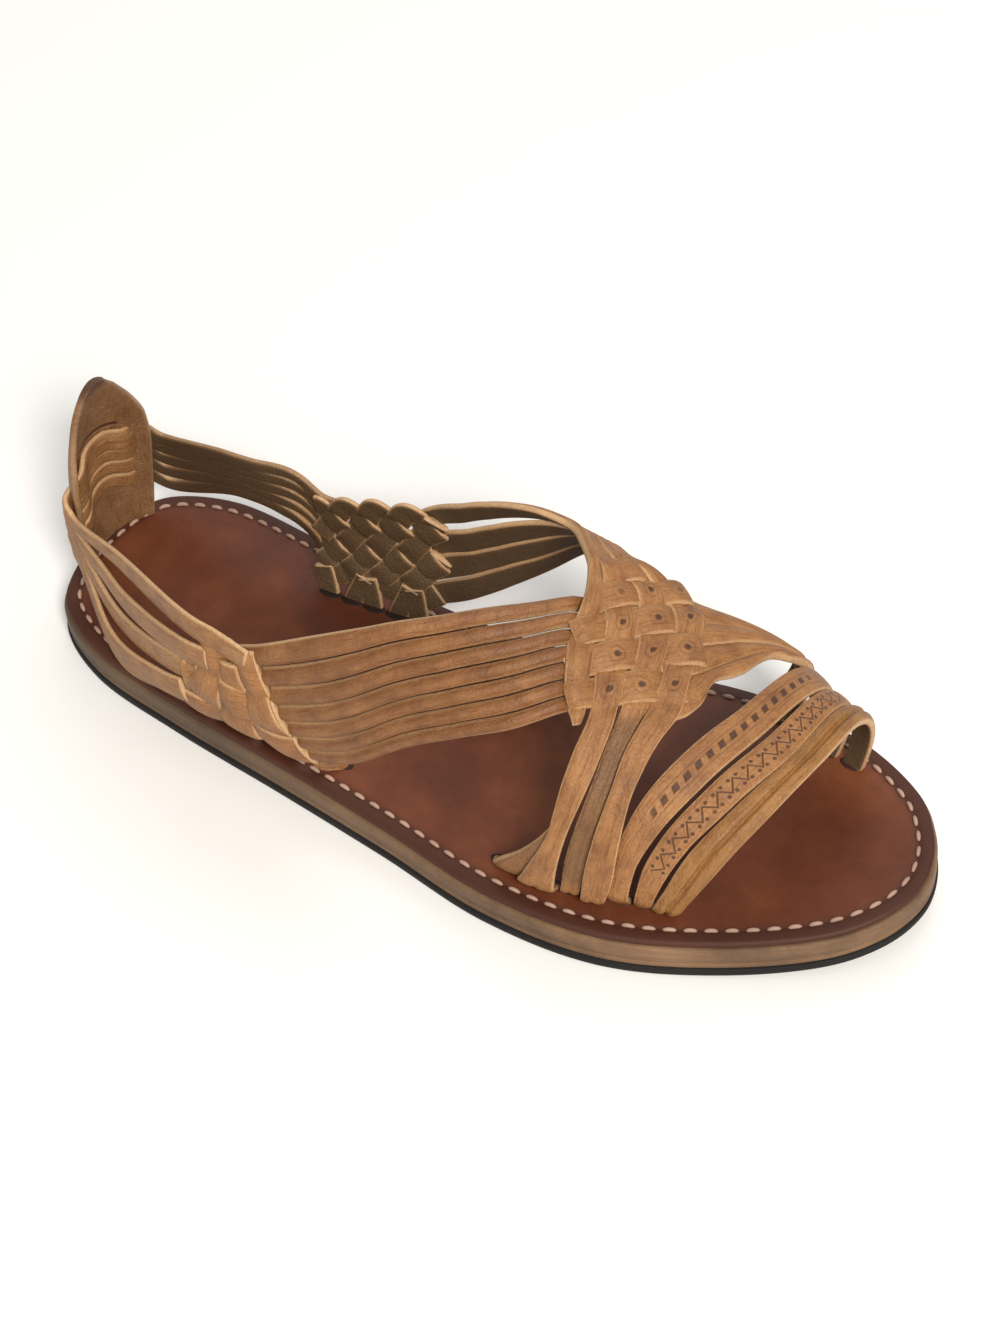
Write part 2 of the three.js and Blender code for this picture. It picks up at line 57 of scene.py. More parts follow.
def makeCamera():
    width, height = camera["imageSize"]
    forward = np.array(camera["forward"])
    forward = forward / np.linalg.norm(forward)
    right = np.cross(forward, (0, 0, 1))
    right = right / np.linalg.norm(right)
    up = np.cross(right, forward)
    across = (camera["shoeCentre"][0] - width / 2) / camera["focalPixels"]
    down = (camera["shoeCentre"][1] - height / 2) / camera["focalPixels"]
    aim = forward + right * across - up * down
    aim = aim / np.linalg.norm(aim)
    side = right - aim * (right @ aim)  # the least turn that points the lens at the shoe
    side = side / np.linalg.norm(side)
    top = np.cross(side, aim)
    data = bpy.data.cameras.new("photoCamera")
    data.sensor_width = 36
    data.lens = camera["focalPixels"] * camera["enlarge"] / height * data.sensor_width
    data.clip_start, data.clip_end = 0.01, 20
    body = bpy.data.objects.new("photoCamera", data)
    bpy.context.collection.objects.link(body)
    matrix = np.eye(4)
    matrix[:3, :] = np.stack([side, top, -aim, camera["place"]], axis=-1)
    body.matrix_world = Matrix(matrix.tolist())
    bpy.context.scene.camera = body


makeCamera()
print("camera made")


# The sole's outline and the last, the two forms that every piece follows

sole = {
    "length": 280.0,
    "ballWidth": 98.0,
    "outsole": 4.0,
    "midsole": 6.4,
    "insole": 2.0,
    "gap": 0.3,
    "toeSpring": 6.0,
    "springStart": 218.0,
}
insoleTop = sole["outsole"] + sole["midsole"] + sole["insole"] + 2 * sole["gap"]

# half widths of the sole as shares of the ball width
outlineAlong = np.array([0.008, 0.030, 0.100, 0.220, 0.360, 0.500, 0.630, 0.750, 0.860, 0.945, 0.975, 0.993])
outlineOuter = np.array([0.131, 0.243, 0.349, 0.402, 0.437, 0.477, 0.522, 0.490, 0.356, 0.202, 0.112, 0.020])
outlineInner = np.array([0.190, 0.300, 0.389, 0.385, 0.341, 0.358, 0.439, 0.506, 0.488, 0.374, 0.281, 0.186])
toeTip = -0.084

last = {
    "width": 84.0,
    "instepHeight": 68.0,
    "heelHeight": 92.0,
    "tuckHeight": 26.0,
    "power": 2.4,
    "along": np.array([0.136, 0.250, 0.357, 0.464, 0.536, 0.625, 0.696, 0.768, 0.839, 0.911]),
    "outer": np.array([0.405, 0.450, 0.476, 0.495, 0.524, 0.560, 0.560, 0.512, 0.452, 0.345]),
    "inner": np.array([0.310, 0.310, 0.345, 0.417, 0.462, 0.525, 0.548, 0.520, 0.405, 0.300]),
    "centre": np.array([0.024, 0.024, 0.012, -0.012, -0.048, -0.060, -0.071, -0.095, -0.119, -0.155]),
    "tuckOuter": np.array([0.14, 0.18, 0.18, 0.14, 0.08, 0.04, 0.04, 0.04, 0.04, 0.04]),
    "tuckInner": np.array([0.22, 0.22, 0.24, 0.25, 0.25, 0.25, 0.25, 0.24, 0.20, 0.16]),
    "heel": np.array([1.00, 1.00, 0.52, 0.16, 0.00, 0.00, 0.00, 0.00, 0.00, 0.00]),
    "instep": np.array([0.00, 0.00, 0.56, 0.92, 1.05, 0.88, 0.72, 0.60, 0.51, 0.42]),
}


def smoothColumn(values, place):
    # Cubic through the rows, going on straight past the ends: the slope at a row is half the
    # difference of its two neighbours
    asked = place
    place = np.clip(place, 0, len(values) - 1)
    i = np.minimum(np.floor(place).astype(int), len(values) - 2)
    f = place - i
    padded = np.concatenate([[2 * values[0] - values[1]], values, [2 * values[-1] - values[-2]]])
    p0, p1, p2, p3 = (padded[i + k] for k in range(4))
    m1, m2 = (p2 - p0) / 2, (p3 - p1) / 2
    f2, f3 = f * f, f * f * f
    curve = (2 * f3 - 3 * f2 + 1) * p1 + (f3 - 2 * f2 + f) * m1 + (3 * f2 - 2 * f3) * p2 + (f3 - f2) * m2
    return curve + (asked - place) * np.where(asked < 0, values[1] - values[0], values[-1] - values[-2])


def toeLift(y):
    # Rise of the sole towards the toe: the square of the share past the start of the spring
    share = np.maximum(0, (y - sole["springStart"]) / (sole["length"] - sole["springStart"]))
    return sole["toeSpring"] * share * share


def lastPoint(along, angle):
    # Superellipse section about the footbed's middle: walk out along the angle until
    # |x / half width|^p + |z / height|^p is 1, with the half width tucked in near the footbed
    place = np.interp(along, last["along"], np.arange(len(last["along"])))
    keys = ("outer", "inner", "centre", "tuckOuter", "tuckInner")
    value = {key: smoothColumn(last[key], place) for key in keys}
    top = smoothColumn(last["heel"], place) * last["heelHeight"]
    top = top + smoothColumn(last["instep"], place) * last["instepHeight"]
    ux = np.cos(np.radians(angle))
    uz = np.maximum(0, np.sin(np.radians(angle)))
    reach = np.full(np.shape(ux * top), 40.0)
    for _ in range(14):
        low = np.maximum(0, 1 - uz * reach / last["tuckHeight"]) ** 2
        outer = value["outer"] * (1 - value["tuckOuter"] * low)
        inner = value["inner"] * (1 - value["tuckInner"] * low)
        half = np.where(ux > 0, outer, inner) * last["width"]
        ratio = ((np.abs(ux) * reach / half) ** last["power"] + (uz * reach / top) ** last["power"])
        reach = reach / ratio ** (1 / last["power"])
    y = along * sole["length"]
    x = value["centre"] * last["width"] + ux * reach
    return np.stack([x, y, insoleTop + toeLift(y) + uz * reach], axis=-1)


def lastNormal(along, angle):
    # Cross product of the steps along the foot and round the section, level at the footbed
    a = np.clip(angle, 1, 179)
    across = lastPoint(along, a + 1) - lastPoint(along, a - 1)
    ahead = lastPoint(along + 0.005, a) - lastPoint(along - 0.005, a)
    normal = np.cross(ahead, across)
    normal[..., 2] = np.where((angle <= 0) | (angle >= 180), 0, normal[..., 2])
    return normal / np.linalg.norm(normal, axis=-1, keepdims=True)


# Strap routes: each row is (share, angle) of one edge and (share, angle) of the other, the angle
# turning from 0 at the outer footbed over the foot to 180 at the inner footbed

routes = {
    "outerBand": np.array([
        (0.338, 50, 0.398, 11), (0.416, 59, 0.455, 20), (0.480, 66, 0.520, 36), (0.535, 72, 0.580, 46),
        (0.582, 81, 0.630, 54), (0.611, 90, 0.668, 64), (0.636, 100, 0.696, 71),
    ]),
    "throughBand": np.array([
        (0.655, 117, 0.752, 80), (0.692, 123, 0.763, 92), (0.726, 133, 0.774, 108), (0.758, 142, 0.787, 127),
        (0.776, 150, 0.798, 142), (0.766, 164, 0.796, 160), (0.750, 180, 0.786, 180),
    ]),
    "overBand": np.array([
        (0.380, 127, 0.380, 172), (0.425, 121, 0.425, 164), (0.470, 117, 0.465, 156), (0.520, 114, 0.507, 147),
        (0.562, 113, 0.562, 132), (0.606, 102, 0.632, 117), (0.634, 92, 0.690, 120), (0.662, 81, 0.734, 108),
        (0.690, 68, 0.759, 84), (0.695, 50, 0.767, 62), (0.684, 30, 0.776, 36), (0.660, 12, 0.790, 14),
        (0.638, 0, 0.796, 0),
    ]),
    "toeRear": np.array([
        (0.724, 0, 0.744, 0), (0.744, 22, 0.762, 20), (0.757, 46, 0.777, 39), (0.775, 69, 0.798, 61),
        (0.794, 97, 0.818, 90), (0.803, 134, 0.828, 130), (0.801, 158, 0.825, 157), (0.797, 180, 0.818, 180),
    ]),
    "toeMiddle": np.array([
        (0.754, 0, 0.774, 0), (0.771, 20, 0.789, 17), (0.785, 38, 0.805, 35), (0.806, 60, 0.828, 56),
        (0.827, 90, 0.850, 86), (0.834, 132, 0.854, 129), (0.832, 157, 0.852, 156), (0.827, 180, 0.846, 180),
    ]),
    "toeFront": np.array([
        (0.784, 0, 0.806, 0), (0.797, 15, 0.820, 14), (0.812, 32, 0.841, 33), (0.837, 56, 0.865, 59),
        (0.856, 86, 0.879, 90), (0.860, 128, 0.882, 122), (0.858, 156, 0.881, 154), (0.854, 180, 0.876, 180),
    ]),
    "outerPlait": np.array([
        (0.238, 53, 0.238, 12), (0.285, 52, 0.300, 12), (0.318, 51, 0.352, 12), (0.350, 51, 0.408, 12),
    ]),
    "innerPlait": np.array([
        (0.258, 127, 0.262, 168), (0.305, 124, 0.305, 168), (0.350, 122, 0.350, 168), (0.400, 123, 0.395, 168),
    ]),
}


def routePlace(rows, at, share):
    # Place along the foot and angle round it, at a row count and a share of the band's width
    y0, a0, y1, a1 = (smoothColumn(rows[:, k], at) for k in range(4))
    return y0 + (y1 - y0) * share, a0 + (a1 - a0) * share


def routePoint(rows, at, share, height):
    # The point there, lifted off the last along its normal
    along, angle = routePlace(rows, at, share)
    return lastPoint(along, angle) + lastNormal(along, angle) * height[..., None]


def routeCurve(rows, at, share, height):
    # A curve of such points, and the last's normals along it
    along, angle = routePlace(rows, at, share)
    normal = lastNormal(along, angle)
    return lastPoint(along, angle) + normal * height[:, None], normal


# Mesh making: a strap is a grid, one direction along it and the other round its section

def outwards(points, faces):
    # Turns a part's faces round where six times its volume, the sum of p0 . (p1 x p2), is below zero
    p0, p1, p2, p3 = (points[faces[:, k]] for k in range(4))
    volume = np.sum(p0 * np.cross(p1, p2)) + np.sum(p0 * np.cross(p2, p3))
    return faces if volume > 0 else faces[:, ::-1]


def makeMesh(name, parts, material):
    # Joins parts, each with points in mm, quads, two maps and three shades (cut edge, flesh side and painted
    # shade, stamp)
    points, faces, start = [], [], 0
    for part in parts:
        centred = part["points"] - part["points"].mean(axis=0)
        points.append(part["points"])
        faces.append(outwards(centred, part["faces"]) + start)
        start += len(part["points"])
    points, faces = np.concatenate(points), np.concatenate(faces)
    uv = np.concatenate([part["uv"] for part in parts])
    stampMap = np.concatenate([part.get("stampMap", part["uv"]) for part in parts])
    shade = np.concatenate([part["shade"] for part in parts])
    points = (points - np.array([0, sole["length"] / 2, 0])) * mm
    mesh = bpy.data.meshes.new(name)
    mesh.from_pydata(points.tolist(), [], faces.tolist())
    corners = np.empty(len(mesh.loops), dtype=np.int32)
    mesh.loops.foreach_get("vertex_index", corners)
    mesh.uv_layers.new(name="strapMap").data.foreach_set("uv", (uv[corners] * mm).ravel())
    mesh.uv_layers.new(name="stampMap").data.foreach_set("uv", stampMap[corners].ravel())
    for k, key in enumerate(("cutEdge", "fleshAndShade", "stamp")):
        attribute = mesh.attributes.new(key, "FLOAT", "POINT")
        attribute.data.foreach_set("value", np.ascontiguousarray(shade[:, k], dtype=np.float32))
    mesh.polygons.foreach_set("use_smooth", np.ones(len(mesh.polygons), dtype=bool))
    mesh.materials.append(material)
    piece = bpy.data.objects.new(name, mesh)
    bpy.context.collection.objects.link(piece)
    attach(piece, "root")
    return piece


def tubeFaces(rows, columns):
    # Quads of a grid that is closed round its section, with its two ends closed by strips of quads
    i, j = np.meshgrid(np.arange(rows - 1), np.arange(columns), indexing="ij")
    k = (j + 1) % columns
    walls = [i * columns + j, i * columns + k, (i + 1) * columns + k, (i + 1) * columns + j]
    a = np.arange(columns // 2 - 1)
    cap = np.stack([a, columns - 1 - a, columns - 2 - a, a + 1], -1)
    return np.concatenate([np.stack(walls, -1).reshape(-1, 4), cap, (rows - 1) * columns + cap[:, ::-1]])


def section(columns, roundness=0.4, aspect=4.0):
    # Once round a strap's section, |x|^(2/r) + |y|^(2/r) = 1, at even steps of its length: the share
    # across it, and the rise from the flesh side at 0 to the grain side at 1
    turn = (np.arange(4000) + 0.5) / 4000 * 2 * np.pi
    c, s = np.cos(turn), np.sin(turn)
    x, y = -np.sign(c) * np.abs(c) ** roundness, np.sign(s) * np.abs(s) ** roundness
    run = np.concatenate([[0], np.cumsum(np.hypot(np.diff(x) * aspect, np.diff(y)))])
    even = (np.arange(columns) + 0.5) / columns * run[-1]
    return 0.5 + 0.5 * np.interp(even, run, x), 0.5 + 0.5 * np.interp(even, run, y)


def strapShades(across, rise, width, stamp, paintedShade):
    # Cut edge near the sides and at both ends, flesh side below with painted shade where it is given, and the
    # stamped region as it is given
    side = np.clip(1 - np.minimum(across, 1 - across) * width / 0.45, 0, 1)
    wall = np.clip(1 - np.abs(rise - 0.5) * 2.6, 0, 1)
    cut = np.clip(side + wall, 0, 1)
    cut[[0, -1]] = 1
    return np.stack([cut, np.maximum(np.clip(1 - rise * 2, 0, 1), paintedShade), stamp], -1)


def blend(value, low, high):
    # Smooth step from 0 at low to 1 at high: 3t^2 - 2t^3
    t = np.clip((value - low) / (high - low), 0, 1)
    return t * t * (3 - 2 * t)


def softened(values, reach):
    # Running mean with Hann weights over the reach on each side, the ends going on straight
    before = values[0] - (values[1] - values[0]) * np.arange(reach, 0, -1)
    after = values[-1] + (values[-1] - values[-2]) * np.arange(1, reach + 1)
    weights = np.hanning(2 * reach + 3)[1:-1]
    return np.convolve(np.concatenate([before, values, after]), weights / weights.sum(), "valid")


def runAlong(points):
    # Length passed at each point of a curve
    return np.concatenate([[0], np.cumsum(np.linalg.norm(np.diff(points, axis=0), axis=1))])


def stripPart(points, u, v, seed, stampX, shade):
    # What makeMesh needs of a strip; the seed moves its streaks away from its neighbours'
    return {
        "points": points.reshape(-1, 3),
        "faces": tubeFaces(*u.shape),
        "uv": np.stack([u + seed, v + seed * 0.37], -1).reshape(-1, 2),
        "stampMap": np.stack([stampX, v], -1).reshape(-1, 2),
        "shade": shade.reshape(-1, 3),
    }


def strap(rows, edges, thickness, lift=None, pressed=None, steps=120, columns=24, stamp=None, seed=0.0,
          dome=0.35, paintedShade=None):
    # Sweeps a strap's section along a route. Each row of edges is (row count, low share, high share) and
    # gives the strap's two sides in shares of the route's width. Its height over the last is
    # lift + rise x thickness + dome x (1 - (2 across - 1)^2) - what is pressed into the grain side
    # paintedShade, when given, says for each row count how far the grain side is painted in the flesh colour as
    # shade
    edges = np.array(edges)
    flat = np.zeros((steps, columns))
    count = np.linspace(edges[0, 0], edges[-1, 0], steps)
    reach = max(1, int(0.3 / (count[1] - count[0])))
    sides = (softened(np.interp(count, edges[:, 0], edges[:, k]), reach) for k in (1, 2))
    low, high = (side[:, None] + flat for side in sides)
    at = count[:, None] + flat
    across, rise = (value + flat for value in section(columns))
    leftSide, rightSide = (routePoint(rows, at, share, flat)[:, 0] for share in (low, high))
    width = np.linalg.norm(rightSide - leftSide, axis=1)[:, None] + flat
    u = runAlong((leftSide + rightSide) / 2)[:, None] + flat
    v = (across - 0.5) * width
    top = np.clip(rise * 2 - 1, 0, 1)
    base = flat if lift is None else lift(at, u)
    sunk = flat if pressed is None else pressed(v, width)
    share = low + (high - low) * across
    swell = dome * (1 - (2 * across - 1) ** 2)
    points = routePoint(rows, at, share, base + rise * thickness + (swell - sunk) * top)
    stampX, stampShare = (u, flat) if stamp is None else stamp(at, u)
    shade = strapShades(across, rise, width, stampShare * top, flat if paintedShade is None else paintedShade(at))
    return stripPart(points, u, v, seed, stampX, shade)


def ribbon(centre, normal, width, thickness, columns=16, seed=0.0, roundness=0.4, stamp=None, stampStart=None,
           dome=0.3):
    # Sweeps the section along a free curve of points, its grain side towards the normal. The side
    # direction is tangent x normal, and the section is centred on the curve, its top domed as a strap's
    tangent = np.gradient(centre, axis=0)
    tangent = tangent / np.linalg.norm(tangent, axis=1, keepdims=True)
    side = np.cross(tangent, normal)
    side = side / np.linalg.norm(side, axis=1, keepdims=True)
    normal = np.cross(side, tangent)
    flat = np.zeros((len(centre), columns))
    across, rise = (value + flat for value in section(columns, roundness))
    width = np.reshape(width, (-1, 1)) + flat
    u = runAlong(centre)[:, None] + flat
    v = (across - 0.5) * width
    top = np.clip(rise * 2 - 1, 0, 1)
    height = (rise - 0.5) * thickness + dome * (1 - (2 * across - 1) ** 2) * top
    points = centre[:, None] + side[:, None] * v[..., None] + normal[:, None] * height[..., None]
    stampX, stampShare = (u, flat) if stamp is None else (stampStart[:, None] + flat, stamp[:, None] * top)
    return stripPart(points, u, v, seed, stampX, strapShades(across, rise, width, stampShare, 0.0))


def splinePieces(p0, p1, p2, p3, steps):
    # Centripetal spline from each p1 to its p2: cubic pieces with spacing by the root of each chord
    chords = ((p0, p1), (p1, p2), (p2, p3))
    d0, d1, d2 = (np.sqrt(np.linalg.norm(b - a, axis=-1, keepdims=True)) for a, b in chords)
    m1 = ((p1 - p0) / d0 - (p2 - p0) / (d0 + d1) + (p2 - p1) / d1) * d1
    m2 = ((p2 - p1) / d1 - (p3 - p1) / (d1 + d2) + (p3 - p2) / d2) * d1
    t = (np.arange(steps) / steps)[None, :, None]
    a, b = 2 * t ** 3 - 3 * t ** 2 + 1, t ** 3 - 2 * t ** 2 + t
    c, d = 3 * t ** 2 - 2 * t ** 3, t ** 3 - t ** 2
    return (a * p1 + b * m1 + c * p2 + d * m2).reshape(-1, p1.shape[-1])


def evenSteps(curve, steps, endpoint=True):
    # The curve at even steps of its length
    run = runAlong(curve)
    even = np.linspace(0, run[-1], steps, endpoint=endpoint)
    return np.stack([np.interp(even, run, curve[:, k]) for k in range(curve.shape[1])], -1)


def splineThrough(knots, steps):
    # Spline through open knots, its ends going on straight
    knots = np.concatenate([[2 * knots[0] - knots[1]], knots, [2 * knots[-1] - knots[-2]]])
    curve = splinePieces(knots[:-3, None], knots[1:-2, None], knots[2:-1, None], knots[3:, None], 20)
    return evenSteps(np.concatenate([curve, knots[-2][None]]), steps)


def pebble(centre, half, turned=0.0, rows=9, columns=20):
    # Ellipsoid with its own half sizes, turned about the vertical: used for the dark patches painted as the
    # shade inside the slots
    lat, lon = np.meshgrid(np.linspace(-1, 1, rows) * 0.47 * np.pi, np.arange(columns) / columns * 2 * np.pi,
                           indexing="ij")
    x = np.cos(lat) * np.cos(lon) * half[0]
    y = np.cos(lat) * np.sin(lon) * half[1]
    c, s = math.cos(turned), math.sin(turned)
    points = np.stack([x * c - y * s, x * s + y * c, np.sin(lat) * half[2]], -1) + np.array(centre)
    return {
        "points": points.reshape(-1, 3),
        "faces": tubeFaces(rows, columns),
        "uv": points[..., :2].reshape(-1, 2),
        "shade": np.zeros((rows * columns, 3)),
    }


# Materials

def linearColour(text):
    # sRGB hex to linear light
    c = np.array([int(text[k:k + 2], 16) / 255 for k in (1, 3, 5)])
    c = np.where(c <= 0.04045, c / 12.92, ((c + 0.055) / 1.055) ** 2.4)
    return (*c.tolist(), 1.0)


def addNode(tree, kind, settings=None, inputs=None, output=0):
    # Adds a shader node and returns one of its outputs. The settings are its properties, of which "stops"
    # fill a colour ramp with (position, hex or grey). An input is a value, a hex colour or another output
    node = tree.nodes.new("ShaderNode" + kind)
    for key, value in (settings or {}).items():
        if key != "stops":
            setattr(node, key, value)
            continue
        for k, (place, colour) in enumerate(value):
            stop = node.color_ramp.elements[k] if k < 2 else node.color_ramp.elements.new(place)
            stop.position = place
            stop.color = linearColour(colour) if isinstance(colour, str) else (colour, colour, colour, 1)
    for key, value in (inputs or {}).items():
        if isinstance(value, bpy.types.NodeSocket):
            tree.links.new(value, node.inputs[key])
        else:
            node.inputs[key].default_value = linearColour(value) if isinstance(value, str) else value
    return node.outputs[output]


def newMaterial(name):
    material = bpy.data.materials.new(name)
    material.use_nodes = True
    tree = material.node_tree
    tree.nodes.clear()
    shader = tree.nodes.new("ShaderNodeBsdfPrincipled")
    out = tree.nodes.new("ShaderNodeOutputMaterial")
    tree.links.new(shader.outputs["BSDF"], out.inputs["Surface"])
    return material, tree, shader


def workOut(tree, values, steps):
    # Each step is (name, operation, operands), the operands being names or numbers. "below" is 1 under an
    # edge and 0 over it, smooth over the softness on each side; the rest are the shader's own operations
    for name, operation, *operands in steps:
        operands = [values.get(operand, operand) for operand in operands]
        if operation == "below":
            value, edge, soft = operands
            values[name] = addNode(tree, "MapRange", {"interpolation_type": "SMOOTHSTEP"}, {
                "Value": value, "From Min": edge - soft, "From Max": edge + soft, "To Min": 1.0, "To Max": 0.0})
        else:
            values[name] = addNode(tree, "Math", {"operation": operation}, dict(enumerate(operands)))


def linkLook(tree, shader, colour, layers, roughness, normal):
    # Mixes in each layer's colour by its share, one after another
    for share, tone in layers:
        colour = addNode(tree, "Mix", {"data_type": "RGBA"}, {0: share, 6: colour, 7: tone}, 2)
    for key, value in (("Base Color", colour), ("Roughness", roughness), ("Normal", normal)):
        tree.links.new(value, shader.inputs[key])


# How deep the grain is pressed, 0 to 1, from the pattern's map: x in pattern lengths, y in mm, and
# centred = fract(x) - 0.5
stampSteps = {
    "rounds": [  # a pit and a ring round it, r = sqrt(x^2 + y^2)
        ("mmX", "MULTIPLY", "centred", 16.0),
        ("xx", "MULTIPLY", "mmX", "mmX"),
        ("yy", "MULTIPLY", "y", "y"),
        ("rr", "ADD", "xx", "yy"),
        ("r", "SQRT", "rr"),
        ("pit", "below", "r", 0.85, 0.35),
        ("off", "SUBTRACT", "r", 2.1),
        ("off", "ABSOLUTE", "off"),
        ("ring", "below", "off", 0.25, 0.35),
        ("ring", "MULTIPLY", "ring", 0.28),
        ("mask", "MAXIMUM", "pit", "ring"),
    ],
    "pits": [  # squares, max(|x|, |y|), between two lines
        ("mmX", "MULTIPLY", "centred", 4.1),
        ("mmX", "ABSOLUTE", "mmX"),
        ("mmY", "ABSOLUTE", "y"),
        ("far", "MAXIMUM", "mmX", "mmY"),
        ("pit", "below", "far", 0.95, 0.3),
        ("off", "SUBTRACT", "mmY", 1.9),
        ("off", "ABSOLUTE", "off"),
        ("line", "below", "off", 0.2, 0.25),
        ("line", "MULTIPLY", "line", 0.3),
        ("mask", "MAXIMUM", "pit", "line"),
    ],
    "zigzag": [  # |y - triangle wave|, with a dot in each bend
        ("wave", "ABSOLUTE", "centred"),
        ("wave", "SUBTRACT", "wave", 0.25),
        ("wave", "MULTIPLY", "wave", 6.0),
        ("off", "SUBTRACT", "y", "wave"),
        ("off", "ABSOLUTE", "off"),
        ("zig", "below", "off", 0.28, 0.25),
        ("dotX", "MULTIPLY", "x", 2.0),
        ("dotX", "FRACT", "dotX"),
        ("dotX", "SUBTRACT", "dotX", 0.5),
        ("dotX", "MULTIPLY", "dotX", 2.6),
        ("dotY", "ABSOLUTE", "y"),
        ("dotY", "SUBTRACT", "dotY", 1.7),
        ("xx", "MULTIPLY", "dotX", "dotX"),
        ("yy", "MULTIPLY", "dotY", "dotY"),
        ("rr", "ADD", "xx", "yy"),
        ("r", "SQRT", "rr"),
        ("dot", "below", "r", 0.45, 0.25),
        ("mask", "MAXIMUM", "zig", "dot"),
    ],
    # the slit's dark line is painted shade of the slit's open gap above the top heel strip; the burnished tip
    # is the tab's own darker colour
    "slit": [  # the tab's slit, |y - (44 - 0.022 x^2)|, and its tip, burnished from 60 mm up
        ("drop", "MULTIPLY", "x", "x"),
        ("drop", "MULTIPLY", "drop", 0.022),
        ("curve", "SUBTRACT", 44.0, "drop"),
        ("off", "SUBTRACT", "y", "curve"),
        ("off", "ABSOLUTE", "off"),
        ("line", "below", "off", 0.55, 0.4),
        ("side", "SUBTRACT", "x", 2.0),
        ("side", "ABSOLUTE", "side"),
        ("wide", "below", "side", 12.5, 1.0),
        ("line", "MULTIPLY", "line", "wide"),
        ("plain", "below", "y", 63.25, 3.25),
        ("tip", "SUBTRACT", 1.0, "plain"),
        ("tip", "MULTIPLY", "tip", 0.85),
        ("mask", "MAXIMUM", "line", "tip"),
    ],
}

strapLeather = {
    "tan": "#936437",
    "dark": "#784d28",
    "pale": "#a57545",
    "cut": "#d0aa7e",
    # the flesh side's own grey-brown, made darker as painted shade of faces turned away from the light; also
    # painted on grain sides as shade where asked
    "fleshAndShade": "#52402c",
    "pit": "#3f2212",
    "streak": "#6e3b1b",
    "streakSize": (7.0, 0.55),  # mm along and across the strip
    "clouds": 9.0,  # mm
    "blotches": 4.5,
    "creases": 2.2,
    "pores": 0.9,
    "fine": 0.5,
    "cutShare": 0.75,
    "creaseShare": 0.16,
    "pitShare": 0.92,
    "roughness": 0.5,
}


